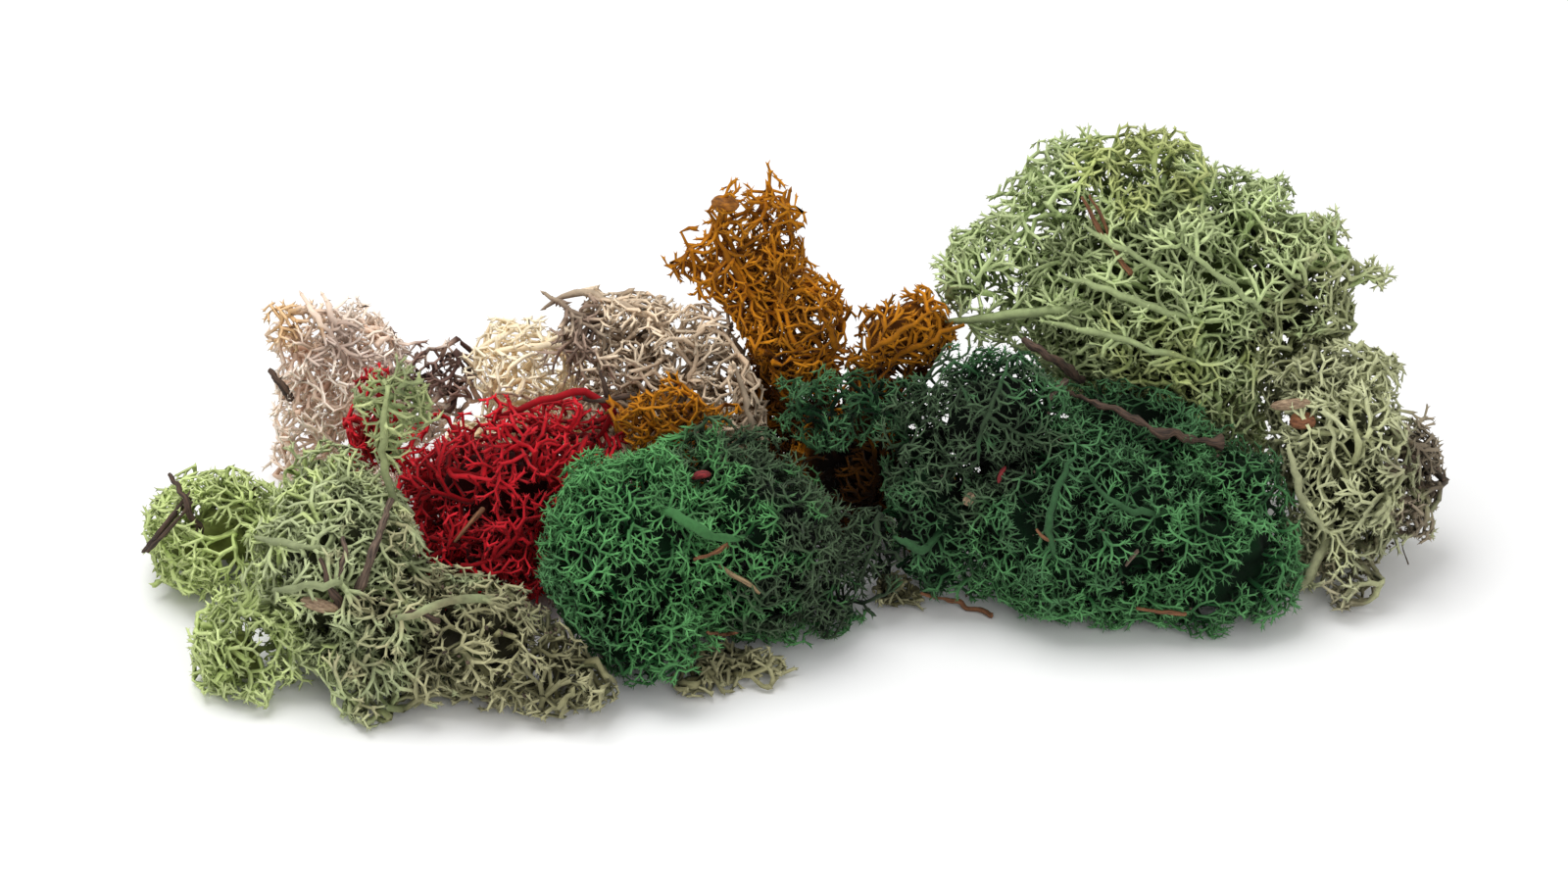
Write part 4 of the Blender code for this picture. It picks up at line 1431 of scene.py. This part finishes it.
@dataclass(frozen=True)
class Scrap:
    """A dry flake that lies on a tuft: a thin leaf, cupped across and bent along."""

    name: str
    host: str
    pixel: tuple[float, float]
    length: float
    width: float
    finish: WoodFinish
    cup: float = 0.3
    bend: float = 0.25
    turn: float = 0.0
    lift: float = 1.0
    thickness: float = 0.35
    replaces: bool = False
    seed: int = 1

    ALONG = 15
    ACROSS = 9
    LEAN = 0.6
    TIP = 0.06
    OVAL = 2.4
    UNEVEN = 0.06
    THIN = 0.8
    LOWEST = 0.3

    def build(self, sight: Sight, outlines: dict[str, Envelope]) -> bpy.types.Object:
        """Makes the flake's two sides and its rim. Its half width is that of an oval, its height
        is the cup times the square of the place across plus the bend times that along.

        Args:
            sight: finds the flake's place.
            outlines: the tufts' outlines by name.

        Returns:
            The piece.
        """
        host = outlines[self.host]
        centre = sight.find(self.pixel, host, self.lift)
        _, outward, _ = host.outward(centre[None])
        face = unit(outward[0] - self.LEAN * sight.ahead)
        level = unit(np.cross(sight.up, face))
        other = np.cross(face, level)
        angle = math.radians(self.turn)
        along = level * math.cos(angle) + other * math.sin(angle)
        aside = np.cross(face, along)
        columns, rows = (np.linspace(-1, 1, count) for count in (self.ALONG, self.ACROSS))
        u, v = np.meshgrid(columns, rows, indexing="ij")
        oval = self.TIP + (1 - self.TIP) * np.sqrt(np.maximum(0.0, 1 - np.abs(u) ** self.OVAL))
        rough = Waves(self.length / 2, self.seed)
        flat = centre + 0.5 * self.length * u[..., None] * along
        flat = flat + 0.5 * self.width * (v * oval)[..., None] * aside
        uneven = rough.at(flat.reshape(-1, 3)).reshape(u.shape)
        height = -self.cup * self.width * (v * oval) ** 2 - self.bend * self.length * u**2
        height = height + self.UNEVEN * self.width * uneven
        middle = flat + height[..., None] * face
        half = 0.5 * self.thickness * (1 - self.THIN * np.maximum(np.abs(v), np.abs(u)) ** 4)
        shell = Shell()
        size = u.size
        marks = np.concatenate([u.ravel(), u.ravel()]) / 2 + 0.5
        both = np.concatenate([middle + half[..., None] * face, middle - half[..., None] * face])
        both[..., 2] = np.maximum(both[..., 2], self.LOWEST)
        numbers = shell.add_points(both.reshape(-1, 3), marks, marks)
        top, under = numbers[:size].reshape(u.shape), numbers[size:].reshape(u.shape)
        for grid, order in ((top, 1), (under, -1)):
            quads = np.stack([grid[:-1, :-1], grid[1:, :-1], grid[1:, 1:], grid[:-1, 1:]], axis=-1)
            shell.add_quads(quads[..., ::order])
        rim, low = (
            np.concatenate([side[:, 0], side[-1, 1:], side[-2::-1, -1], side[0, -2:0:-1]])
            for side in (top, under)
        )
        shell.add_quads(np.stack([rim, low, np.roll(low, -1), np.roll(rim, -1)], axis=-1))
        values = {
            "along": np.concatenate([u.ravel(), u.ravel()]) * self.length,
            "round_x": np.concatenate([v.ravel(), v.ravel()]),
            "round_y": np.concatenate([np.ones(size), -np.ones(size)]),
        }
        piece = shell.to_object(self.name + "_flake", values)
        return dress(piece, self.finish.material(), self.name if self.replaces else "")


@dataclass(frozen=True)
class Crumbs:
    """Crumbs of peat and bark that stick in a tuft: small uneven lumps."""

    name: str
    host: str
    centre: Point
    spread: float
    count: int
    finish: WoodFinish
    size: tuple[float, float] = (0.5, 1.5)
    seed: int = 1

    TRIES = 60
    LOWEST = 2.0
    DEPTH = 0.8
    NEAR = 1.2
    DENTS = (0.6, 1.3)

    def build(self, outlines: dict[str, Envelope]) -> bpy.types.Object:
        """Scatters eight-sided lumps, each stretched and dented at random, near the outline.

        Args:
            outlines: the tufts' outlines by name.

        Returns:
            The piece.
        """
        dice = np.random.default_rng(self.seed)
        host = outlines[self.host]
        scatter = dice.normal(0, self.spread, (self.count * self.TRIES, 3))
        places = np.array(self.centre) + CENTRING + scatter
        near = np.abs(host.reach(places) + self.DEPTH) < self.NEAR
        places = places[near & (places[:, 2] > self.LOWEST)][: self.count]
        axes = np.array([(1, 0, 0), (0, 1, 0), (-1, 0, 0), (0, -1, 0), (0, 0, 1), (0, 0, -1)], float)
        sizes = dice.uniform(*self.size, (len(places), 1, 3)) / 2
        dents = dice.uniform(*self.DENTS, (len(places), 6, 1))
        turns = unit(dice.normal(size=(len(places), 3)))
        lumps = axes * dents * sizes
        mirror = 2 * (lumps @ turns[..., None]) * turns[:, None] - lumps
        points = places[:, None] + mirror
        shell = Shell()
        shades = np.repeat(dice.uniform(0, 1, len(places)), 6)
        numbers = shell.add_points(points.reshape(-1, 3), shades, shades).reshape(-1, 6)
        for first in range(4):
            second = (first + 1) % 4
            shell.add_faces(numbers[:, [first, second, 4]])
            shell.add_faces(numbers[:, [second, first, 5]])
        flat = points.reshape(-1, 3)
        values = {"along": shades * 9, "round_x": flat[:, 0] / 3, "round_y": flat[:, 2] / 3}
        return dress(shell.to_object(self.name, values), self.finish.material(), "")


BARK = WoodFinish("dark bark", (0.012, 0.007, 0.005), (0.12, 0.070, 0.045))
GREY_BARK = WoodFinish("grey bark", (0.030, 0.018, 0.013), (0.20, 0.135, 0.095))
RUST = WoodFinish("rusty needle", (0.085, 0.030, 0.012), (0.30, 0.13, 0.055))
STRAW = WoodFinish("dry straw", (0.14, 0.085, 0.040), (0.42, 0.30, 0.16))
SCALE = WoodFinish("bud scale", (0.10, 0.032, 0.014), (0.36, 0.145, 0.065))
LEAF = WoodFinish("dry leaf", (0.16, 0.095, 0.055), (0.46, 0.33, 0.21))
OCHRE_LEAF = WoodFinish("ochre leaf", (0.10, 0.030, 0.003), (0.42, 0.155, 0.012))
RED_SCRAP = WoodFinish("red scrap", (0.06, 0.004, 0.006), (0.34, 0.030, 0.035))
PEAT_CRUMB = WoodFinish("peat crumb", (0.015, 0.009, 0.006), (0.14, 0.090, 0.060))

TUFTS = (
    Tuft(
        "lime_tuft",
        LichenFinish(
            "lime lichen", Dye.GREY_LIME,
            (
                Patch(Dye.FRESH_LIME, (-134, -2, 15), 36), Patch(Dye.FRESH_LIME, (-124, -44, 8), 24, 0.8),
                Patch(Dye.DULL_OLIVE, (-56, -50, 10), 42), Patch(Dye.SPRIG, (-89, -12, 55), 19),
            ),
        ),
        (
            (-101, -27, 21, 21, 26, 19), (-86, -40, 14, 20, 18, 13), (-134, 4, 12, 18, 18, 15),
            (-123, -42, 10, 12, 12, 13), (-106, -6, 26, 15, 16, 13), (-68, -42, 13, 20, 18, 12),
            (-50, -50, 8, 15, 12, 9), (-92, -56, 4, 7, 6, 6), (-87, -11, 56, 9, 6, 9),
            (-91, -11, 48, 5, 5, 9), (-106, 16, 9, 14, 12, 11),
        ),
        stems=(
            Stem(((-89, -46, 22), (-84, -54, 26), (-75, -52, 29), (-66, -46, 26), (-62, -42, 18)), 2.2),
            Stem(((-90, -15, 60), (-91, -18, 50), (-90, -20, 41), (-88, -19, 31)), 2.2),
            Stem(((-114, -46, 28), (-109, -50, 31), (-101, -51, 33), (-97, -46, 30)), 2.0),
            Stem(((-120, -30, 32), (-113, -38, 36), (-106, -42, 37), (-100, -38, 34)), 1.8),
        ),
        runners=12, forks=80, fork_round=1, filled=6.0, billow=1.3, seed=11,
    ),
    Tuft(
        "mauve_tuft",
        LichenFinish(
            "mauve lichen", Dye.MAUVE,
            (
                Patch(Dye.DARK_MAUVE, (-84, 48, 32), 15), Patch(Dye.TAN, (-122, 48, 47), 10),
                Patch(Dye.DARK_MAUVE, (-108, 42, 42), 9, 0.6),
            ),
            mottle=0.2, dimmest=0.95,
        ),
        (
            (-107, 49, 30, 17, 17, 17), (-104, 52, 12, 14, 13, 14), (-120, 46, 9, 9, 9, 11),
            (-117, 46, 22, 8, 8, 10), (-89, 52, 21, 9, 9, 10), (-119, 50, 42, 9, 8, 7),
            (-87, 50, 30, 9, 8, 9), (-106, 34, 9, 12, 9, 9), (-79, 50, 31, 7, 8, 9),
        ),
        habit=Habit.OPEN,
        stems=(
            Stem(((-117, 50, 52), (-111, 43, 47), (-106, 40, 40), (-104, 44, 32)), 1.9),
            Stem(((-112, 52, 51), (-108, 46, 45), (-104, 46, 36)), 2.1),
            Stem(((-122.5, 48, 43), (-121, 48, 47), (-117, 49, 49), (-112, 50, 47)), 1.3),
        ),
        runners=9, forks=14, core=0.0, painted_depth_shade=0.2, seed=12,
    ),
    Tuft(
        "red_tuft", LichenFinish("red lichen", Dye.RED, mottle=0.45),
        (
            (-67, 0, 27, 24, 17, 21), (-70, 0, 12, 16, 12, 14), (-97, 14, 37, 7, 8, 14),
            (-48, 8, 37, 13, 9, 9), (-72, -16, 17, 17, 11, 14), (-76, 22, 14, 19, 12, 14),
            (-52, 14, 14, 14, 11, 14),
        ),
        habit=Habit.OPEN,
        stems=(Stem(((-70, 8, 40), (-59, 5, 47), (-48, 7, 49), (-40, 9, 43), (-44, 9, 36)), 1.9),),
        runners=10, forks=34, core=12.5, painted_depth_shade=0.7, seed=13,
    ),
    Tuft(
        "cream_tuft", LichenFinish("cream lichen", Dye.CREAM, mottle=0.15, dimmest=1.0),
        (
            (-64, 46, 35, 17, 12, 11), (-58, 44, 26, 14, 12, 10), (-54, 50, 13, 12, 11, 15),
            (-70, 40, 14, 14, 9, 12),
        ),
        habit=Habit.OPEN, stems=(Stem(((-71, 41, 41), (-61, 40, 43), (-52, 43, 41), (-54, 46, 33)), 2.0),),
        runners=5, forks=8, core=0.0, painted_depth_shade=0.0, seed=14,
    ),
    Tuft(
        "beige_tuft",
        LichenFinish(
            "beige lichen", Dye.BEIGE,
            (Patch(Dye.DARK_MAUVE, (-54, 32, 50), 14, 0.75), Patch(Dye.CREAM, (-30, 36, 16), 15)),
        ),
        (
            (-20, 30, 43, 17, 14, 16), (-36, 36, 47, 20, 15, 12), (-38, 34, 34, 17, 13, 10),
            (-28, 40, 17, 17, 13, 19), (-13, 22, 37, 10, 9, 13), (-36, 28, 14, 16, 9, 14),
        ),
        habit=Habit.OPEN,
        stems=(
            Stem(((-57, 40, 54), (-50, 40, 58), (-42, 36, 58), (-33, 31, 57), (-24, 32, 48)), 1.9),
            Stem(((-57, 36, 60), (-50, 34, 56), (-44, 32, 51), (-36, 30, 46)), 1.6),
            Stem(((-12, 16, 52), (-9, 14, 44), (-8, 14, 36), (-10, 18, 28)), 1.8),
        ),
        runners=12, forks=22, core=0.0, painted_depth_shade=0.45, seed=15,
    ),
    Tuft(
        # the patch paints shade on the ochre low in the hollow behind the emerald tufts
        "ochre_tuft", LichenFinish("ochre lichen", Dye.OCHRE, (Patch(Dye.OCHRE_PAINTED_SHADE, (8, 34, 24), 26),)),
        (
            (1, 33, 52, 15, 15, 16), (0, 40, 20, 13, 12, 22), (8, 30, 46, 11, 12, 14),
            (-11, 36, 65, 8, 8, 9), (-3, 36, 74, 8, 8, 14), (-20, 36, 68, 6, 5, 8), (-13, 36, 78, 5, 5, 7),
            (0, 24, 12, 12, 10, 12),
        ),
        stems=(
            Stem(((-15, 32, 75), (-9, 29, 65), (-2, 27, 54)), 2.0),
            Stem(((9, 22, 61), (12, 21, 54), (9, 27, 44)), 1.9),
            Stem(((-24.5, 36, 76), (-15, 33, 61), (-6, 28, 51), (-2, 27, 42)), 1.6),
            Stem(((-18, 36, 82), (-11, 34, 71), (-4, 30, 57), (2, 28, 46)), 1.6),
            Stem(((1.5, 36, 87), (-2, 34, 74), (0, 31, 60), (5, 26, 48)), 1.7),
            Stem(((-4, 36, 66), (4, 26, 58), (10, 22, 50), (13, 22, 38)), 1.8),
        ),
        runners=8, forks=30, flow=(-0.35, 0.0, 0.9), core=0.0, painted_depth_shade=0.5, seed=16,
    ),
    Tuft(
        "ochre_side_tuft",
        LichenFinish(
            "ochre side lichen", Dye.OCHRE,
            # painted shade: the first patch is ochre darkened in the hollow, the second near-black deep in
            # the hollow under the emerald bridge
            (Patch(Dye.OCHRE_PAINTED_SHADE, (30, 26, 42), 13), Patch(Dye.CAVE_PAINTED_SHADE, (18, 20, 18), 30)),
        ),
        (
            (27, 24, 56, 14, 10, 11), (21, 22, 33, 14, 11, 18), (22, 26, 12, 11, 10, 14),
            (10, 20, 20, 11, 9, 17), (32, 18, 12, 10, 9, 12),
        ),
        stems=(
            Stem(((22, 20, 48), (31, 15, 57), (42, 19, 61)), 1.8),
            Stem(((18, 18, 52), (25, 14, 60), (34, 16, 65)), 1.5),
            Stem(((20, 16, 12), (22, 12, 24), (20, 12, 36)), 1.6),
        ),
        runners=8, forks=8, flow=(0.5, 0.0, 0.3), core=5.5, painted_depth_shade=0.8, seed=17,
    ),
    Tuft(
        "ochre_front_tuft", LichenFinish("ochre front lichen", Dye.OCHRE),
        ((-28, 6, 43, 14, 9, 7), (-28, 11, 24, 9, 8, 12), (-28, 12, 8, 8, 7, 11)), runners=3, forks=6,
        core=0.0, painted_depth_shade=0.6, billow=2.0, seed=18,
    ),
    Tuft(
        "emerald_front_tuft",
        LichenFinish(
            "emerald front lichen", Dye.EMERALD,
            (
                Patch(Dye.GREY_EMERALD, (12, -18, 22), 31), Patch(Dye.GREY_EMERALD, (-6, -6, 44), 20, 0.9),
                Patch(Dye.DARK_EMERALD, (-50, -36, 14), 22, 0.8),
            ),
        ),
        (
            (-35, -28, 26, 21, 22, 24), (-7, -20, 23, 20, 19, 23), (-17, -8, 39, 18, 12, 8),
            (-32, -42, 12, 16, 12, 12), (10, -18, 10, 10, 12, 14), (21, -9, 17, 9, 9, 12),
            (-6, 2, 18, 18, 11, 16),
        ),
        habit=Habit.FINE,
        stems=(Stem(((-31, -33, 43), (-24, -40, 44), (-16, -40, 39), (-9, -33, 34)), 2.6),), runners=6,
        runner_size=0.7, forks=60, fork_round=1, filled=4.4, core=7.5, seed=19,
    ),
    Tuft(
        "emerald_right_tuft",
        LichenFinish(
            "emerald right lichen", Dye.DARK_EMERALD,
            (
                Patch(Dye.EMERALD, (98, -22, 12), 34, 0.5), Patch(Dye.GREY_EMERALD, (40, -8, 46), 24, 0.9),
                Patch(Dye.EMERALD, (52, -18, 8), 20, 0.4),
            ),
        ),
        (
            (71, -6, 22, 33, 22, 25), (49, 2, 45, 17, 15, 18), (99, -12, 15, 22, 17, 18),
            (36, -4, 20, 14, 13, 21), (80, 8, 37, 21, 15, 13), (10, 6, 44, 10, 8, 10),
            (24, 8, 47, 14, 9, 7), (106, 0, 24, 14, 13, 17), (34, 6, 32, 12, 10, 14),
        ),
        habit=Habit.FINE,
        stems=(
            Stem(((38, -9, 26), (33, -16, 21), (26, -17, 24)), 2.2),
            Stem(((95, -6, 30), (88, -18, 32), (78, -24, 36), (70, -20, 40)), 2.0),
            Stem(((66, -18, 46), (62, -22, 40), (60, -26, 32), (62, -26, 24)), 1.8),
            Stem(((51, -3, 62), (48, -10, 57), (45, -13, 50), (44, -15, 42)), 1.4),
            Stem(((40, -5, 59), (43, -10, 55), (49, -12, 52), (55, -12, 48)), 1.2),
        ),
        runners=8, runner_size=0.7, forks=84, fork_round=1, filled=4.4, flow=(0.15, 0.0, -0.25), core=6.2,
        seed=20,
    ),
    Tuft(
        "pale_green_tuft",
        LichenFinish(
            "pale green lichen", Dye.PALE_GREEN,
            (
                Patch(Dye.PALE_OLIVE, (128, 34, 50), 30), Patch(Dye.YELLOW_GREEN, (84, 36, 102), 20),
                Patch(Dye.YELLOW_GREEN, (88, 16, 50), 17, 0.8), Patch(Dye.PALE_OLIVE, (102, 34, 28), 22),
            ),
        ),
        (
            (91, 34, 58, 36, 24, 28), (95, 44, 23, 26, 16, 25), (72, 40, 84, 17, 13, 13),
            (51, 32, 66, 16, 13, 17), (119, 34, 60, 17, 15, 22), (105, 40, 79, 15, 12, 10),
            (88, 40, 89, 13, 10, 10), (134, 34, 66, 8, 5, 4), (101, 17, 40, 15, 9, 9),
        ),
        stems=(
            Stem(((38, 24, 59), (50, 18, 63), (64, 18, 65), (76, 20, 63)), 2.6),
            Stem(((100, 14, 64), (88, 12, 68), (76, 14, 72), (64, 18, 74)), 1.8),
            Stem(((98, 15, 70), (88, 15, 76), (78, 18, 81), (70, 22, 84)), 1.6),
            Stem(((112, 16, 66), (106, 12, 72), (98, 14, 78), (90, 20, 83)), 1.6),
            Stem(((96, 10, 56), (84, 9, 60), (72, 11, 63), (60, 14, 64)), 1.8),
        ),
        runners=16, forks=90, flow=(-0.45, 0.0, 0.2), core=12.0, billow=1.2, seed=21,
    ),
    Tuft(
        "sage_tuft",
        LichenFinish(
            "sage lichen", Dye.SAGE,
            (Patch(Dye.PEAT, (156, 14, 24), 20), Patch(Dye.PEAT, (134, -6, 4), 12, 0.7)),
        ),
        (
            (132, 10, 24, 18, 19, 25), (126, 16, 44, 16, 14, 13), (149, 16, 21, 8, 10, 14),
            (132, -6, 7, 9, 10, 9),
        ),
        stems=(
            Stem(((116, -9, 6), (122, -10, 8), (126, -6, 14), (129, 2, 22)), 2.6),
            Stem(((117, -2, 40), (119, -6, 33), (122, -8, 26), (127, -8, 20)), 2.2),
        ),
        runners=6, forks=44, flow=(0.0, 0.0, -0.3), seed=22,
    ),
    Tuft(
        "olive_front_tuft", LichenFinish("olive front lichen", Dye.DULL_OLIVE),
        ((-16, -38, 3, 12, 9, 6), (-22, -44, 2, 4, 4, 4)), core=0.0, billow=2.0, seed=23,
    ),
    Tuft(
        "olive_middle_tuft", LichenFinish("olive middle lichen", Dye.DULL_OLIVE), ((27, -8, 4, 9, 7, 7),),
        core=0.0, billow=2.0, seed=24,
    ),
)


@dataclass(frozen=True)
class Studio:
    """The plain pale floor, the soft light and the camera at the photograph's angle."""

    target: Point = (0.0, 0.0, 40.0)
    distance: float = 860.0
    elevation: float = 30.0
    lens: float = 85.0
    floor_size: float = 8.0

    SENSOR = 36.0
    CLIPPING = (0.05, 40.0)
    PALE = (0.93, 0.93, 0.93, 1.0)
    ROUGHNESS = 0.9
    WHITE = (1.0, 1.0, 1.0, 1.0)
    SURROUNDINGS = 0.6
    AIM = (0.0, 0.0, 0.04)
    LAMP_WIDTH = 0.9
    LAMPS = (("top light", (-0.35, 0.10, 1.30), 12.0), ("front light", (0.45, -1.30, 0.90), 6.0))

    def eye(self) -> tuple[np.ndarray, np.ndarray]:
        """The camera's place and the direction in which it looks, in millimetres.

        Returns:
            The place and the direction.
        """
        slope = math.radians(self.elevation)
        ahead = np.array((0.0, math.cos(slope), -math.sin(slope)))
        return np.array(self.target) + CENTRING - ahead * self.distance, ahead

    def camera(self) -> None:
        """Places the camera."""
        data = bpy.data.cameras.new("camera")
        data.lens = self.lens
        data.sensor_width = self.SENSOR
        data.clip_start, data.clip_end = self.CLIPPING
        camera = bpy.data.objects.new("camera", data)
        bpy.context.scene.collection.objects.link(camera)
        place, _ = self.eye()
        camera.location = place * MM
        camera.rotation_euler = (math.pi / 2 - math.radians(self.elevation), 0.0, 0.0)
        bpy.context.scene.camera = camera

    def floor(self) -> None:
        """Lays the floor."""
        bpy.ops.mesh.primitive_plane_add(size=self.floor_size)
        floor = bpy.context.active_object
        floor.name = "floor"
        material, nodes = new_material("pale floor")
        shader = nodes.tree.nodes["Principled BSDF"]
        nodes.fill(shader, {"Base Color": self.PALE, "Roughness": self.ROUGHNESS})
        floor.data.materials.append(material)

    def area(self, name: str, place: Point, power: float) -> None:
        """Hangs one soft light that points at the clump.

        Args:
            name: the light's name.
            place: where it hangs, in metres.
            power: its power, in watts.
        """
        data = bpy.data.lights.new(name, "AREA")
        data.size = self.LAMP_WIDTH
        data.energy = power
        light = bpy.data.objects.new(name, data)
        light.location = place
        way = Vector(self.AIM) - Vector(place)
        light.rotation_euler = way.to_track_quat("-Z", "Y").to_euler()
        bpy.context.scene.collection.objects.link(light)

    def light(self) -> None:
        """Sets the surroundings' even light and hangs the soft lights."""
        world = bpy.data.worlds.new("studio")
        world.use_nodes = True
        nodes = Nodes(world.node_tree)
        background = nodes.tree.nodes["Background"]
        nodes.fill(background, {"Color": self.WHITE, "Strength": self.SURROUNDINGS})
        bpy.context.scene.world = world
        for lamp in self.LAMPS:
            self.area(*lamp)
        bpy.context.scene.view_settings.view_transform = "Standard"

    def build(self) -> None:
        """Sets up the whole studio."""
        self.camera()
        self.floor()
        self.light()


TWIGS = tuple(
    Twig(*row, replaces=True, seed=number)
    for number, row in enumerate((
        ("twig_left_upper", "lime_tuft", ((173, 484), (190, 512), (203, 545)), (7, 4, -5), 1.9, BARK),
        ("twig_left_lower", "lime_tuft", ((146, 563), (165, 540), (196, 503)), (3, 3, -1), 1.6, BARK),
        ("stick_lime_long", "lime_tuft", ((400, 510), (383, 558), (364, 612)), (4, 3, -3), 2.2, GREY_BARK),
        ("stick_lime_short", "lime_tuft", ((327, 570), (337, 597), (349, 626)), (3, 2, -3), 1.9, BARK),
        ("needle_red", "red_tuft", ((464, 553), (478, 536), (493, 519)), (1, 2, 1), 1.3, RUST),
        ("stick_mauve", "mauve_tuft", ((275, 378), (285, 391), (297, 408)), (3, 2, -2), 1.8, BARK),
        (
            "twig_front", "emerald_front_tuft", ((708, 571), (724, 567), (743, 556)), (0, 1.5, -1), 1.2,
            RUST,
        ),
        (
            "stick_emerald", "emerald_right_tuft", ((1044, 346), (1072, 365), (1102, 388)), (3, 3, 0), 2.7,
            BARK,
        ),
        (
            "root_emerald", "emerald_right_tuft",
            ((1088, 400), (1120, 412), (1150, 425), (1180, 440), (1210, 446), (1245, 452)),
            (1, 2.5, 1, 3, 1.5, -1), 2.3, BARK, 0.55, 0.5,
        ),
        ("twig_base", "emerald_right_tuft", ((940, 605), (975, 615), (1012, 629)), (1, 1, -1), 1.4, RUST),
        (
            "needle_pale_green", "pale_green_tuft", ((1104, 201), (1123, 236), (1154, 280)), (1, 2, -1),
            1.2, RUST,
        ),
    ), 1)
)

LOOSE_TWIGS = tuple(
    Twig(*row)
    for row in (
        (
            "needle_second", "pale_green_tuft", ((1112, 199), (1124, 222), (1133, 247)), (1, 2, 0), 1.0,
            RUST,
        ),
        ("twig_left_third", "lime_tuft", ((196, 512), (178, 534), (150, 562)), (2, 4, 1), 1.2, BARK),
        ("stick_red_upper", "red_tuft", ((578, 401), (610, 409), (648, 403)), (2, 3, 2), 1.5, BARK),
        ("stick_red_short", "red_tuft", ((613, 378), (617, 394), (622, 411)), (3, 3, 1), 1.3, BARK),
        ("stick_lime_curl", "lime_tuft", ((350, 548), (353, 566), (342, 592)), (1, 2, 0), 1.8, GREY_BARK),
        ("stick_lime_flat", "lime_tuft", ((405, 628), (425, 625), (448, 633)), (2, 3, 1), 1.3, BARK),
        (
            "twig_front_second", "emerald_front_tuft", ((734, 577), (752, 589), (775, 604)), (1, 2, 0),
            1.3, STRAW,
        ),
        (
            "twig_low_red", "emerald_front_tuft", ((722, 645), (738, 648), (752, 644)), (0, 1.5, 0), 1.2,
            RUST,
        ),
        (
            "stick_peak", "emerald_right_tuft", ((1070, 408), (1078, 398), (1088, 388)), (0, 2, 1), 1.5,
            GREY_BARK,
        ),
        (
            "stick_middle", "emerald_right_tuft", ((1149, 577), (1154, 570), (1161, 562)), (1, 2, 1), 1.2,
            GREY_BARK,
        ),
        (
            "stick_rusty", "emerald_right_tuft", ((1058, 540), (1066, 548), (1075, 552)), (0, 1.5, 0), 1.1,
            RUST,
        ),
        (
            "twig_base_right", "emerald_right_tuft", ((1160, 620), (1185, 625), (1210, 626)), (1, 1, 0),
            1.1, RUST,
        ),
        ("hair_right", "sage_tuft", ((1434, 538), (1431, 556), (1437, 576)), (0, 1, 2), 0.35, BARK),
    )
)

SCRAPS = (
    Scrap(
        "bud_scale", "sage_tuft", (1329, 432), 6.2, 4.2, SCALE, cup=0.5, bend=0.2, thickness=0.9,
        replaces=True,
    ),
    Scrap(
        "leaf_right", "sage_tuft", (1316, 413), 9.5, 2.6, LEAF, cup=0.35, bend=0.12, turn=6, lift=2.5,
        seed=2,
    ),
    Scrap(
        "leaf_spike", "ochre_tuft", (739, 205), 7.0, 4.0, OCHRE_LEAF, cup=0.3, bend=0.2, turn=-12, seed=3,
    ),
    Scrap("scrap_red", "emerald_front_tuft", (713, 483), 5.0, 2.2, RED_SCRAP, turn=8, seed=4),
    Scrap(
        "flake_dark", "emerald_right_tuft", (988, 509), 3.4, 2.6, LEAF, cup=0.2, bend=0.1, turn=50, seed=5,
    ),
    Scrap("flake_rusty", "emerald_right_tuft", (1021, 483), 4.4, 1.2, RED_SCRAP, turn=70, seed=6),
    Scrap("leaf_lime", "lime_tuft", (325, 618), 9.0, 3.0, LEAF, cup=0.3, bend=0.15, turn=-15, seed=7),
)

CRUMBS = (
    Crumbs("peat_right", "sage_tuft", (156, 12, 22), 9.0, 110, PEAT_CRUMB, seed=31),
    Crumbs("peat_lime", "lime_tuft", (-62, -44, 24), 9.0, 70, PEAT_CRUMB, seed=32),
    Crumbs("peat_emerald", "emerald_right_tuft", (70, -14, 34), 20.0, 40, PEAT_CRUMB, (0.4, 1.2), seed=33),
)


class MossClump:
    """The whole clump: every tuft in its territory, and what is caught in them."""

    NEAR = 9.0
    GAP = 0.35

    def __init__(self, studio: Studio) -> None:
        """Takes the studio, whose camera tells where a pixel lies."""
        self.studio = studio

    def territories(self) -> list[Territory]:
        """Each tuft's room, bounded by the tufts whose boxes come near it.

        Returns:
            The territories, in the order of the tufts.
        """
        outlines = [tuft.envelope() for tuft in TUFTS]
        boxes = [outline.box(self.NEAR / 2) for outline in outlines]
        rooms = []
        for index, (tuft, outline) in enumerate(zip(TUFTS, outlines)):
            low, high = boxes[index]
            near = [
                other
                for number, other in enumerate(outlines)
                if number != index and (boxes[number][0] < high).all() and (boxes[number][1] > low).all()
            ]
            rooms.append(Territory(outline, near, self.GAP, Waves(15.0, tuft.seed), tuft.billow))
        return rooms

    def build(self) -> None:
        """Builds every piece and reports the triangles of each tuft."""
        for tuft, room in zip(TUFTS, self.territories()):
            piece = tuft.build(room)
            LOG.info("%s: %d triangles", piece.name, len(piece.data.polygons))
        outlines = {tuft.name: tuft.envelope() for tuft in TUFTS}
        sight = Sight(self.studio)
        for caught in (*TWIGS, *LOOSE_TWIGS, *SCRAPS):
            caught.build(sight, outlines)
        for crumbs in CRUMBS:
            crumbs.build(outlines)


def main() -> None:
    """Builds the studio and the clump."""
    logging.basicConfig(level=logging.INFO, format="%(name)s %(message)s")
    studio = Studio()
    studio.build()
    MossClump(studio).build()


if __name__ == "__main__":
    main()
